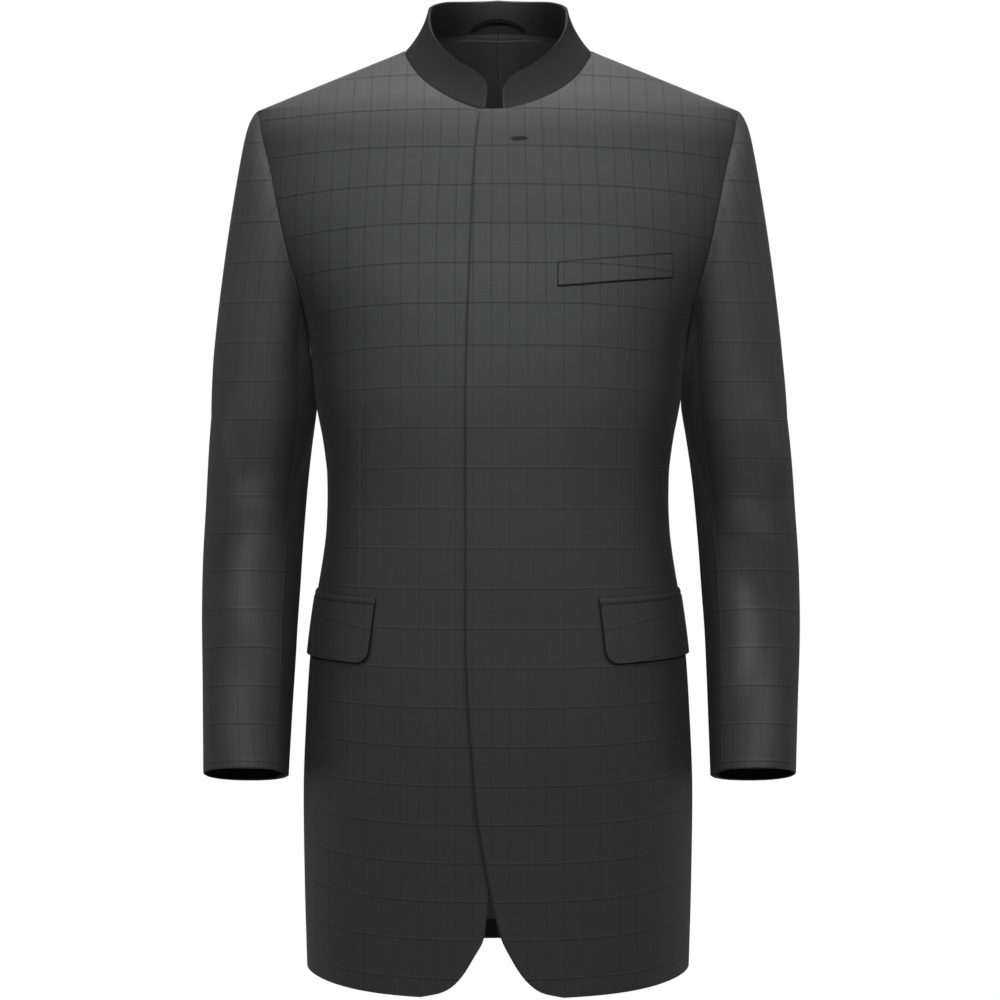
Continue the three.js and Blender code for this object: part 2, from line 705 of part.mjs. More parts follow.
// What lies on a front: a cell on the body at an angle and height, moved out over the panel
function cellOnFront(angle, z, sideName, above) {
  const point = bodyPoint(angle, z);
  const lap = SIDES[sideName] * LAP_STEP * lapShare(point);
  return { point, normal: bodyNormal(angle, z), rise: lap + above };
}

const flapLine = (share) => -FLAP_TOP_DROP + FLAP_TILT * share;

// Flap: rows from its free edge up, with rounded lower corners
function flapGrid(sideName) {
  const drops = [1, 0.985, 0.95, 0.88, 0.78, 0.5, 0.25, 0];
  return drops.map((drop) => {
    const above = drop * FLAP_HEIGHT - FLAP_HEIGHT + FLAP_CORNER;
    const corner = above <= 0 ? 0 : FLAP_CORNER - Math.sqrt(Math.max(FLAP_CORNER ** 2 - above ** 2, 0));
    const start = FLAP_START[sideName] + FLAP_SLANT * drop;
    return evenly(corner, FLAP_LENGTH - corner, 8).map((along) => {
      const z = flapLine(along / FLAP_LENGTH) - SEAM_GAP - drop * FLAP_HEIGHT;
      const angle = angleAfter(z, frontAngle(start, z), along);
      return cellOnFront(angle, z, sideName, SEAM_GAP + FLAP_WALL + FLAP_SPRING * drop);
    });
  });
}

function jetGrid(sideName) {
  return [0, 1].map((up) =>
    evenly(-JET_PAST_FLAP, FLAP_LENGTH + JET_PAST_FLAP, 8).map((along) => {
      const z = flapLine(along / FLAP_LENGTH) + JET_HEIGHT * up;
      const start = frontAngle(FLAP_START[sideName] - JET_PAST_FLAP, z);
      const angle = angleAfter(z, start, along + JET_PAST_FLAP);
      return cellOnFront(angle, z, sideName, SEAM_GAP + JET_WALL);
    }),
  );
}

function weltGrid() {
  return [0, 1].map((up) =>
    evenly(0, 1, 6).map((share) => {
      const x = WELT_START.x + (WELT_END.x - WELT_START.x) * share;
      const z = WELT_START.z + (WELT_END.z - WELT_START.z) * share + WELT_HEIGHT * up;
      return cellOnFront(frontAngle(x, z), z, 'left', SEAM_GAP + WELT_WALL);
    }),
  );
}

for (const [sideName, side] of Object.entries(SIDES)) {
  const flap = layers(flapGrid(sideName), FLAP_WALL);
  addWall(`pocket_flap_${sideName}`, flap.outer, flap.inner, cloth, side);
  const jet = layers(jetGrid(sideName), JET_WALL);
  addWall(`pocket_jet_${sideName}`, jet.outer, jet.inner, cloth, side);
}

const welt = layers(weltGrid(), WELT_WALL);
addWall('chest_welt', welt.outer, welt.inner, cloth, SIDES.left);

export default blazer;
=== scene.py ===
import math

import bpy
import numpy as np
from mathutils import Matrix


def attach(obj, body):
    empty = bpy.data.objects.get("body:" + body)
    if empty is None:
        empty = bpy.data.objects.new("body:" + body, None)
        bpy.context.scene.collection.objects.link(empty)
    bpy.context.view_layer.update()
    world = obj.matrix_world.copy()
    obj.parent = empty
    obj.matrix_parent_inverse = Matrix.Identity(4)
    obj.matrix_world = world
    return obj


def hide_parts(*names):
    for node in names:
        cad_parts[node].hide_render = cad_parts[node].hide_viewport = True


# Looks of a long mandarin collar blazer, in its worn form with no wearer.
# Shapes are worked out in millimetres, in the frame of the solids: +X the wearer's left,
# -Y the front, +Z up, with the origin midway between the shoulder seams' upper ends.

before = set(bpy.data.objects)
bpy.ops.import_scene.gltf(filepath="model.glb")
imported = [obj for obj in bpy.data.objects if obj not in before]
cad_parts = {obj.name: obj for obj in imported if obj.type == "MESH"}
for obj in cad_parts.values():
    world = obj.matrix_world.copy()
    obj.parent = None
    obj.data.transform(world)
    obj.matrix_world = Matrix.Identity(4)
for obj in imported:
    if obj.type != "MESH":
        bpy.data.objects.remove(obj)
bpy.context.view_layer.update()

MILLIMETRE = 0.001

# Body
SHOULDER_HALF_WIDTH = 231
SHOULDER_DROP = 58
SHOULDER_ROUNDING = 30
SHOULDER_SEAM_CRISPNESS = 6
NECK_HALF_WIDTH = 89
NECK_PIT_DROP = 66
NECK_PIT_REACH = 5
NAPE_RISE = 24
NAPE_NARROWING = 11
NECKLINE_ROUNDNESS = 1.7
HEM_DROP = 879
HEM_BOW_FROM = 720
HEM_DIP = 3.3
HEM_SIDE_RISE = 5
HEM_BACK_RISE = 3
HEM_HALF_WIDTH = 183
FRONT_LINING_FROM = 95
FRONT_LINING_RISE = 30
BODY_WALL = 2
SIDE_SEAM_ANGLE = 96
SIDE_SEAM_EASE = 60
SEAM_GAP = 0.3
LAP_STEP = 1.3
LAP_FLAT = 20
LAP_END = 75

# Armhole
ARMHOLE_BOTTOM = 275
ARMHOLE_SPREAD = 27
ARMHOLE_EGG = 0.15

# Sleeve
SLEEVE_WALL = 1.8
SLEEVE_SIDE_GAP = 0.6
SLEEVE_FRONT_SEAM = 140
SLEEVE_BACK_SEAM = -120
SLEEVE_SQUARENESS = 2.2
INNER_FLAT_FROM = -0.1
INNER_FLAT_TO = 0.82
INNER_FLAT_DEPTH = 0.28
INNER_FLAT_TOP = 351
INNER_FLAT_FULL = 430
SLEEVE_TOUCH = 1.9
SLEEVE_TOUCH_LEVEL = 322
SLEEVE_TOUCH_REACH = 42
HEAD_LIFT = 0.15
HEAD_LIFT_SPAN = 0.03
HEAD_ROUNDING = 1.5
HEAD_FULLNESS = 7
HEAD_FULLNESS_SPAN = 0.08
UNDERARM_TUCK = 2.9
SLEEVE_SEAM_RADIUS = 55

# Collar
COLLAR_WALL = 3
COLLAR_SEAT = 0.3
COLLAR_TOP_HALF = 67.5
COLLAR_TOP_FRONT = 62
COLLAR_TOP_BACK = 60
COLLAR_HEIGHT = 41
COLLAR_CORNER = 18
COLLAR_END_LEFT = 6.2
COLLAR_END_RIGHT = 13.2
COLLAR_HOLLOW = 3

# Hanger loop
LOOP_HALF_SPAN = 28
LOOP_RISE = 11
LOOP_FOOT = 6.5
LOOP_WIDTH = 5
LOOP_THICKNESS = 1.2
LOOP_GAP = 0.8
LOOP_STAND_OFF = 2.2

# Pockets
FLAP_LENGTH = 150
FLAP_HEIGHT = 54
FLAP_WALL = 2
FLAP_CORNER = 12
FLAP_SLANT = 6
FLAP_TILT = 5
FLAP_SPRING = 1.2
FLAP_TOP_DROP = 526
FLAP_START = {"left": 94, "right": 114}
JET_HEIGHT = 6.2
JET_WALL = 1.5
WELT_WALL = 2
WELT_HEIGHT = 22
WELT_START = (55, -232)
WELT_END = (162, -222)

# Painted light and shade, as shares of the cloth's own brightness. The bands are in millimetres down
# Painted shade along the body's sides where the sleeves shade them, and broader painted shade on the chest by
# the armholes
SIDE_PAINTED_SHADE = 0.6
SIDE_PAINTED_SHADE_WIDTH = 30
SIDE_PAINTED_SHADE_BAND = (150, 250, 675, 720)
CHEST_SIDE_PAINTED_SHADE = 0.4
CHEST_SIDE_PAINTED_SHADE_WIDTH = 78
CHEST_SIDE_PAINTED_SHADE_BAND = (130, 240, 330, 480)
# Painted highlight along the sleeve head's edge at the armhole
HEAD_EDGE_PAINTED_HIGHLIGHT = 0.4
# Painted light over the inside of the backs
BACK_INSIDE_PAINTED_LIGHT = 1.4
# Painted shade on the under sleeves and where the sleeves face the body, and a painted highlight on their
# front seams
UNDER_SLEEVE_PAINTED_SHADE = -0.4
SLEEVE_INNER_PAINTED_SHADE = -0.58
SLEEVE_INNER_PAINTED_SHADE_BAND = (150, 270, 420, 520)
SEAM_PAINTED_HIGHLIGHT = 0.5
# Painted light on the shoulders, and painted shade across the chest's top
SHOULDER_PAINTED_LIGHT = 0.5
CHEST_TOP_PAINTED_SHADE = -0.22
CHEST_TOP_PAINTED_SHADE_BAND = (60, 95, 130, 230)
# Painted shadow round the chest welt
WELT_PAINTED_SHADOW_TONE = -0.6
# Painted light at the collar's foot, painted shade where it meets the body, and painted light on its inside
# behind the neck
COLLAR_FOOT_PAINTED_LIGHT = 0.25
COLLAR_SEAM_PAINTED_SHADE = -0.9
COLLAR_INSIDE_PAINTED_LIGHT = 3.4
COLLAR_INSIDE_PAINTED_LIGHT_WIDTH = 38
COLLAR_LINED_SHARE = 0.13
# Painted shade on the lining under the collar and along its edges, and painted light low down
LINING_TOP_PAINTED_SHADE = -0.65
LINING_EDGE_PAINTED_SHADE = -0.6
LINING_HEM_PAINTED_LIGHT = 3.2

# Back lining
LINING_WALL = 1
LINING_GAP = 0.7
LINING_HEM_RISE = 19
LINING_NECK_DROP = 0.6

# Check of the wool, in millimetres on the cloth
CHECK_WIDTH = 16.72
CHECK_FIRST_UPRIGHT = -6.3
CHECK_HEIGHT = 36.3
CHECK_FIRST_LEVEL = -173.8
SLEEVE_FIRST_LEVEL = -86.6
SLEEVE_CHECK_HEIGHT = 36.9
SLEEVE_RADIUS_FOR_CHECK = 54
FLAP_CHECK_TILT = 0.2
CHECK_GATHER = 4.5
CHECK_GATHER_WIDTH = 40
CHECK_SAG_FROM = 60
CHECK_SAG_SPAN = 143

# How far the body's level lines sag towards the sides, and lie below even spacing, by height
CHECK_SAG = {
    "z": [-853, -812, -775, -735, -697, -662, -628, -590, -530,
          -487, -445, -350, -300, -249, -188, -150, -110, -78],
    "sag": [2, -7, -11, -11, -8, -7.5, -6.5, -4, -2, 1, 6, 9, 12, 12, 12, 9, 5.8, 4.3],
    "drop": [-1.6, 1.4, 4.5, 6.8, 8.3, 9, 9.6, 10, 10.5, 9.5, 8.5, 6, 4.5, 1, 0, 0, 0, 0],
}

# How far the sleeves' level lines lie below even spacing, by height
SLEEVE_CHECK_DROP = {
    "z": [-690, -650, -590, -540, -500, -400, -290, -210, -172, -135, -95],
    "drop": [6, 8.5, 10.5, 11, 9.5, 9, 10.3, 8.5, 7.5, 4.5, 3.5],
}

# Half width of the body's rings
BODY_WIDTHS = {
    "z": [-58, -80, -120, -165, -200, -220, -250, -275, -300, -320, -335, -352, -369, -389, -405,
          -431, -457, -478, -497, -530, -573, -623, -711, -802, -879],
    "half": [231, 232, 229, 222, 212, 203, 189.5, 181.5, 178.6, 176.6, 174.9, 171.8, 168.4, 165.5, 163.9,
             163.4, 164.4, 166.7, 169.6, 175, 179.6, 183, 186.3, 185, 182.8],
}

# Depth of the body's rings before and behind the middle, and how square they are
BODY_DEPTHS = {
    "z": [24, 0, -29, -58, -66, -100, -170, -250, -324, -430, -530, -595, -700, -879],
    "front": [42, 45, 57, 82, 87, 101, 118, 125, 124, 116, 120, 126, 133, 142],
    "back": [78, 84, 91, 99, 101, 108, 117, 114, 103, 87, 98, 112, 125, 144],
    "square": [2, 2, 2, 2, 2.02, 2.1, 2.35, 2.45, 2.4, 2.25, 2.2, 2.2, 2.2, 2.25],
}

# Front edges, as distance from the middle towards each front's own side
FRONT_EDGES = {
    "z": [-66, -70, -115, -194, -324, -560, -620, -683, -720, -752, -776, -798, -825, -844, -859, -869,
          -874.5, -879],
    "left": [-17, -17.4, -21.8, -25.4, -29.4, -29.4, -27, -22.3, -18.7, -13.3, -8.9, -4, 3.3, 13, 22.8,
             32.6, 42, 60],
    "right": [6, -17, -17, -17.5, -18, -18, -17, -13, -7, 0.5, 6.5, 10.3, 13.5, 23.7, 33.3, 43, 53, 71],
}

# Sleeve rings: centre, half width and half depth, and tilt and turn in degrees
SLEEVE_RINGS = {
    "z": [-351, -431, -499, -564, -620, -689.5],
    "x": [227.7, 234.9, 239, 240.6, 240.4, 240.1],
    "y": [6, 9, 3, -9, -21, -37],
    "half": [50, 47.9, 47.1, 45, 42.7, 40.2],
    "depth": [66, 62, 58.5, 55, 52.5, 50],
    "tilt": [0, 2, 6, 10, 12, 13.5],
    "turn": [-5, -4, -5, -4, 0, 10],
}

# How far the sleeves lean towards the wearer's left, by height
SLEEVE_LEAN = {
    "z": [-295, -351, -431, -564, -640, -700],
    "lean": [0, 1.2, 2.3, 2.8, 2, 1.4],
}

# Height of the collar's top edge by azimuth, from 0 in front to 180 behind, which stands in column z
COLLAR_TOP = {
    "z": [0, 23, 42, 54, 67, 79, 90, 97, 115, 135, 180],
    "top": [-35, -23, -9, 1, 13, 24, 36, 42, 48.7, 53.4, 57.4],
}

# Soft folds. Columns: x and z of one end, x and z of the other, half width, and height, negative for a trough
FOLD_FADE = (-0.25, 0.35, 0.65, 1.25)
BODY_FOLD_SHARE = 0.6
FRONT_FOLDS = [
    (150, -395, 96, -452, 13, -1.3),
    (158, -372, 112, -408, 9, 0.8),
    (-152, -402, -92, -448, 14, -1.2),
    (-160, -438, -110, -470, 10, 0.9),
    (165, -262, 118, -330, 16, -1.8),
    (-168, -258, -124, -322, 17, -2),
    (128, -660, 134, -872, 24, 2.2),
    (88, -690, 84, -876, 20, -1.6),
    (-122, -672, -132, -874, 26, 2),
    (-80, -700, -76, -876, 21, -1.5),
    (60, -118, 150, -92, 15, -0.8),
    (-64, -122, -148, -90, 15, -0.9),
]

BACK_FOLDS = [
    (150, -392, 70, -438, 15, -1.8),
    (146, -432, 84, -466, 11, 1.2),
    (-148, -398, -76, -446, 16, -1.7),
    (-150, -440, -90, -470, 11, 1.1),
    (140, -120, 176, -250, 16, -2.2),
    (-142, -118, -176, -246, 16, -2.3),
    (98, -640, 106, -876, 26, 2.4),
    (48, -690, 50, -878, 20, -1.6),
    (-104, -650, -112, -876, 25, 2.3),
    (-56, -700, -58, -878, 21, -1.5),
    (60, -60, -66, -64, 13, -0.9),
]

# Soft folds of a sleeve, with the turn in degrees in the place of x
ARC_PER_DEGREE = 0.94
SLEEVE_FOLDS = {
    "left": [
        (128, -420, 40, -476, 13, -1.2),
        (136, -462, 58, -500, 10, -0.9),
        (132, -505, 46, -532, 11, -0.8),
        (70, -540, 40, -680, 17, 1.6),
        (104, -560, 96, -684, 14, -1.3),
        (-64, -330, -40, -470, 18, -1.6),
        (36, -180, 60, -330, 17, -1.5),
        (84, -196, 98, -340, 14, 1.3),
        (-90, -500, -40, -560, 15, 1.4),
    ],
    "right": [
        (124, -410, 44, -462, 12, -1.0),
        (138, -452, 50, -496, 11, -0.8),
        (130, -498, 60, -520, 10, -0.6),
        (64, -530, 44, -676, 18, 1.7),
        (100, -570, 92, -684, 13, -1.2),
        (-60, -340, -44, -480, 17, -1.7),
        (40, -176, 56, -320, 18, -1.6),
        (80, -190, 94, -330, 15, 1.2),
        (-86, -496, -46, -552, 14, 1.5),
    ],
}

# Painted highlights of a sleeve, and a little painted shade, with the same columns. The last one is the share
# of painted light that they add, negative for painted shade
SLEEVE_PAINTED_LIGHT_AND_SHADE = {
    "left": [
        (80, -312, 80, -354, 14, 0.25),
        (60, -387, 50, -430, 12, -0.2),
        (112, -432, 68, -460, 13, 0.35),
        (64, -340, 58, -400, 12, 0.3),
        (112, -500, 110, -600, 13, 1.15),
        (96, -560, 92, -710, 22, 0.95),
    ],
    "right": [
        (62, -340, 70, -405, 9, 0.3),
        (98, -405, 98, -440, 18, 0.6),
        (98, -450, 102, -560, 16, 0.9),
        (98, -560, 96, -710, 21, 0.85),
        (74, -452, 58, -500, 14, -0.18),
    ],
}

# Front darts, as points (x, z) from the top down, x towards the front's own side
DARTS = {
    "left": {"x": [123, 118, 113.5, 112, 111.5, 111.5], "z": [-276, -303, -352, -396, -436, -512]},
    "right": {"x": [128, 128.5, 129, 129], "z": [-338, -400, -460, -512]},
}
DART_FADE = 16

# Buttonhole near the top of the left front
BUTTONHOLE = {"x": 19.6, "z": -94.6, "half_length": 7.2, "half_height": 1.0, "slant": 0.04, "thread": 0.95}

# Grain of the wool, as shares of its brightness
GRAIN = {"even": 0.54, "fibre": 0.24, "cloud": 0.12, "streak": 0.30, "slub": 0.30}

# Lines of the check: half width in millimetres, strength low down, and what the chest adds to it
LINES = {
    "upright": (1.1, 0.13, 0.22),
    "level": (1.2, 0.36, 0.16),
    # above: a painted highlight just over each level line, stronger low down
    "above": (1.0, 0.30, -0.24),
}
CHEST_LINES_FROM = -360
CHEST_LINES_SPAN = 140

# Colours
WOOL_COLOUR = (0.030, 0.030, 0.0305)
COLLAR_COLOUR = (0.0052, 0.0052, 0.0054)
# A lighter wool for the collar's rim, as a painted highlight along its edges
COLLAR_EDGE_HIGHLIGHT_COLOUR = (0.015, 0.015, 0.0152)
LINING_COLOUR = (0.014, 0.014, 0.015)
THREAD_COLOUR = (0.009, 0.009, 0.0092)
FLOOR_COLOUR = (0.75, 0.75, 0.74)

# Lights on both sides and in the middle: name, place, target, size in metres, power in watts
PAIRED_LIGHTS = [
    ("front_key", (0.8, -1.5, 0.7), (0, -0.1, -0.3), 0.6, 11),
    ("side_key", (1.6, -1.15, 0.5), (0, -0.05, -0.3), 0.6, 12),
    ("rim", (1.5, 0.7, -0.9), (0, 0, -0.8), 0.5, 3),
]
MIDDLE_LIGHTS = [
    ("overhead", (0, -0.15, 1.0), (0, 0, 0), 0.6, 17),
    ("back_fill", (0, 2.0, 0.5), (0, 0.1, -0.4), 1.2, 14),
    ("chest_beam", (0, -1.7, 0.35), (0, -0.1, -0.16), 0.3, 0.5),
]
CHEST_BEAM_SPREAD = 24
SURROUND_LIGHT = 0.03

# Camera, in metres
CAMERA_PLACE = (0, -2.7, -0.378)
CAMERA_LENS = 101.2
CAMERA_SHIFT = (0.002, -0.055)

SIDES = {"left": 1, "right": -1}


def smooth_curve(table, column):
    """A curve through a table's rows: cubic pieces with limited slopes, so that it never overshoots."""
    order = np.argsort(table["z"])
    places = np.array(table["z"], float)[order]
    values = np.array(table[column], float)[order]
    secants = np.diff(values) / np.diff(places)
    before = np.append(secants[0], secants)
    after = np.append(secants, secants[-1])
    same_way = before * after > 0
    total = np.where(same_way, before + after, 1)
    slopes = np.where(same_way, 2 * before * after / total, 0)

    def curve(at):
        at = np.clip(at, places[0], places[-1])
        i = np.clip(np.searchsorted(places, at, side="right") - 1, 0, len(places) - 2)
        span = places[i + 1] - places[i]
        t = (at - places[i]) / span
        rise = t * t * (3 - 2 * t)
        bend = slopes[i] * span * t * (1 - t) ** 2 - slopes[i + 1] * span * t * t * (1 - t)
        return values[i] * (1 - rise) + values[i + 1] * rise + bend

    return curve


width_below_shoulder = smooth_curve(BODY_WIDTHS, "half")
body_front = smooth_curve(BODY_DEPTHS, "front")
body_back = smooth_curve(BODY_DEPTHS, "back")
body_square = smooth_curve(BODY_DEPTHS, "square")
collar_top = smooth_curve(COLLAR_TOP, "top")
check_sag = smooth_curve(CHECK_SAG, "sag")
check_drop = smooth_curve(CHECK_SAG, "drop")
sleeve_check_drop = smooth_curve(SLEEVE_CHECK_DROP, "drop")
sleeve_lean = smooth_curve(SLEEVE_LEAN, "lean")
sleeve_ring_at = {name: smooth_curve(SLEEVE_RINGS, name) for name in SLEEVE_RINGS if name != "z"}


def soft_step(value, low, high):
    """0 below low, 1 above high, and a smooth cubic between."""
    t = np.clip((value - low) / (high - low), 0, 1)
    return t * t * (3 - 2 * t)


def unit(vectors):
    """Each vector divided by its own length."""
    return vectors / np.maximum(np.linalg.norm(vectors, axis=-1, keepdims=True), 1e-9)


def n_norm(a, b, n):
    """The n-th root of the sum of both sizes to the power n."""
    return (np.abs(a) ** n + np.abs(b) ** n) ** (1 / n)


def band(value, start, full, last_full, end):
    """1 between the two middle places, with a soft step on each side."""
    return soft_step(value, start, full) * (1 - soft_step(value, last_full, end))


def corner_inset(above, radius):
    """How far a quarter circle lies in from the side, at a height above the corner's start."""
    return np.where(above <= 0, 0, radius - np.sqrt(np.maximum(radius ** 2 - above ** 2, 0)))


def neckline_height(share):
    """Superellipse from the neck pit at 0 up to the neck point at 1."""
    return -NECK_PIT_DROP * (1 - share ** NECKLINE_ROUNDNESS) ** (1 / NECKLINE_ROUNDNESS)


def body_half(angle, z):
    """Half width of a ring: straight shoulder seams, and away from them a shoulder that turns over."""
    slope = (SHOULDER_HALF_WIDTH - NECK_HALF_WIDTH) / SHOULDER_DROP
    shoulder = NECK_HALF_WIDTH - slope * z
    nape = NECK_HALF_WIDTH - NAPE_NARROWING * z / NAPE_RISE
    side = np.where(z > 0, nape, np.where(z < -SHOULDER_DROP, width_below_shoulder(z), shoulder))
    near = np.maximum(SHOULDER_ROUNDING - np.abs(z + SHOULDER_DROP), 0)
    turned = slope * near ** 2 / (4 * SHOULDER_ROUNDING)
    return side - turned * (1 - np.abs(np.sin(angle)) ** SHOULDER_SEAM_CRISPNESS)


def body_point(angle, z):
    """Superellipse ring: sine and cosine of the angle over their n-norm, times half width and depth."""
    n = body_square(z)
    across, along = np.sin(angle), np.cos(angle)
    scale = n_norm(across, along, n)
    depth = np.where(along > 0, body_front(z), body_back(z))
    x = body_half(angle, z) * across / scale
    return np.stack([x, -depth * along / scale, z + 0 * angle], -1)


def body_normal(angle, z):
    """Cross product of the ring's own direction and the upward one, from two near points each."""
    across = body_point(angle + 0.01, z) - body_point(angle - 0.01, z)
    up = body_point(angle, z + 1.5) - body_point(angle, z - 1.5)
    return unit(np.cross(across, up))


def front_angle(x, z):
    """Angle on the front of a ring at which it lies x from the middle, found in a few rounds."""
    n = body_square(z)
    angle = np.zeros(np.broadcast(x, z).shape)
    for _ in range(6):
        share = np.clip(np.abs(x) / body_half(angle, z), 0, 1) ** n
        angle = np.arctan2(share ** (1 / n), (1 - share) ** (1 / n))
    return np.sign(x) * angle


def neckline_angle(z):
    """A rounded curve down to the neck pit in front, and a quarter sine up to the nape behind."""
    drop = np.clip(-z / NECK_PIT_DROP, 0, 1) ** NECKLINE_ROUNDNESS
    ahead = front_angle(NECK_HALF_WIDTH * (1 - drop) ** (1 / NECKLINE_ROUNDNESS), np.minimum(z, 0))
    behind = np.pi / 2 + np.arcsin(np.clip(z / NAPE_RISE, 0, 1))
    return np.where(z >= 0, behind, ahead)


ARMHOLE_MIDDLE = (ARMHOLE_BOTTOM + SHOULDER_DROP) / 2
ARMHOLE_REACH = (ARMHOLE_BOTTOM - SHOULDER_DROP) / 2


def armhole_angle(turn):
    """The side, less a spread that goes with the sine of the turn and is wider low down."""
    spread = math.radians(ARMHOLE_SPREAD) * np.sin(turn)
    return np.pi / 2 - spread * (1 - ARMHOLE_EGG * np.cos(turn))


def armhole_height(turn):
    """Cosine of the turn, from the shoulder point at 0 to the underarm at pi."""
    return -ARMHOLE_MIDDLE + ARMHOLE_REACH * np.cos(turn)


def outer_angle(z, is_back):
    """Where a panel ends at each height: shoulder seam, armhole or side seam."""
    turn = np.arccos(np.clip((z + ARMHOLE_MIDDLE) / ARMHOLE_REACH, -1, 1))
    at_armhole = armhole_angle(2 * np.pi - turn if is_back else turn)
    opened = soft_step(-z, ARMHOLE_BOTTOM, ARMHOLE_BOTTOM + SIDE_SEAM_EASE)
    side_seam = np.pi / 2 + math.radians(SIDE_SEAM_ANGLE - 90) * opened
    inside = (z < -SHOULDER_DROP) & (z > -ARMHOLE_BOTTOM)
    return np.where(inside, at_armhole, side_seam)


def panel_heights(is_back):
    """Heights of a panel's rows: close at the hem, by the turn at the armhole, by the curve at the neck."""
    hem = -HEM_DROP + np.array([0, 0.5, 1.2, 2.2, 3.6, 5.4, 7.6, 10, 13, 16.5, 20])
    skirt = np.arange(-HEM_DROP + 23.5, -ARMHOLE_BOTTOM - 2, 3.6)
    arm = armhole_height(np.linspace(np.pi, 0, 58))
    neck = neckline_height(np.linspace(0.02, 0.999, 26))
    parts = [hem, skirt, arm, neck, [-68.5, -NECK_PIT_DROP - 0.05]]
    if is_back:
        parts.append(NAPE_RISE * np.sin(np.linspace(0, np.pi / 2, 14)))
    return np.unique(np.round(np.concatenate(parts), 3))


def edge_shares(count, near):
    """Shares from 0 to 1 with two close steps at each end, so that an edge can turn over."""
    inner = np.linspace(near, 1 - near, count)
    return np.concatenate([[0, near * 0.3], inner, [1 - near * 0.3, 1]])


def fold_height(across, z, folds, scale=1.0):
    """Sum of soft folds: a bell across each slightly bowed line, which fades out at both ends."""
    height = np.zeros(np.shape(across))
    for start_across, start_z, end_across, end_z, half_width, rise in folds:
        run_across, run_z = (end_across - start_across) * scale, end_z - start_z
        length = math.hypot(run_across, run_z)
        p, q = (across - start_across) * scale, z - start_z
        share = (p * run_across + q * run_z) / length ** 2
        side = (p * run_z - q * run_across) / length
        bow = half_width * 0.5 * np.sin(np.pi * np.clip(share, 0, 1))
        height += rise * np.exp(-(((side - bow) / half_width) ** 2)) * band(share, *FOLD_FADE)
    return height


def grid_normals(points):
    """Cross product of the grid's two directions at each point."""
    across = np.gradient(points, axis=1)
    up = np.gradient(points, axis=0)
    return unit(np.cross(across, up))


def new_object(name, data):
    """An object with this mesh, light or camera, in the scene."""
    obj = bpy.data.objects.new(name, data)
    bpy.context.scene.collection.objects.link(obj)
    return obj


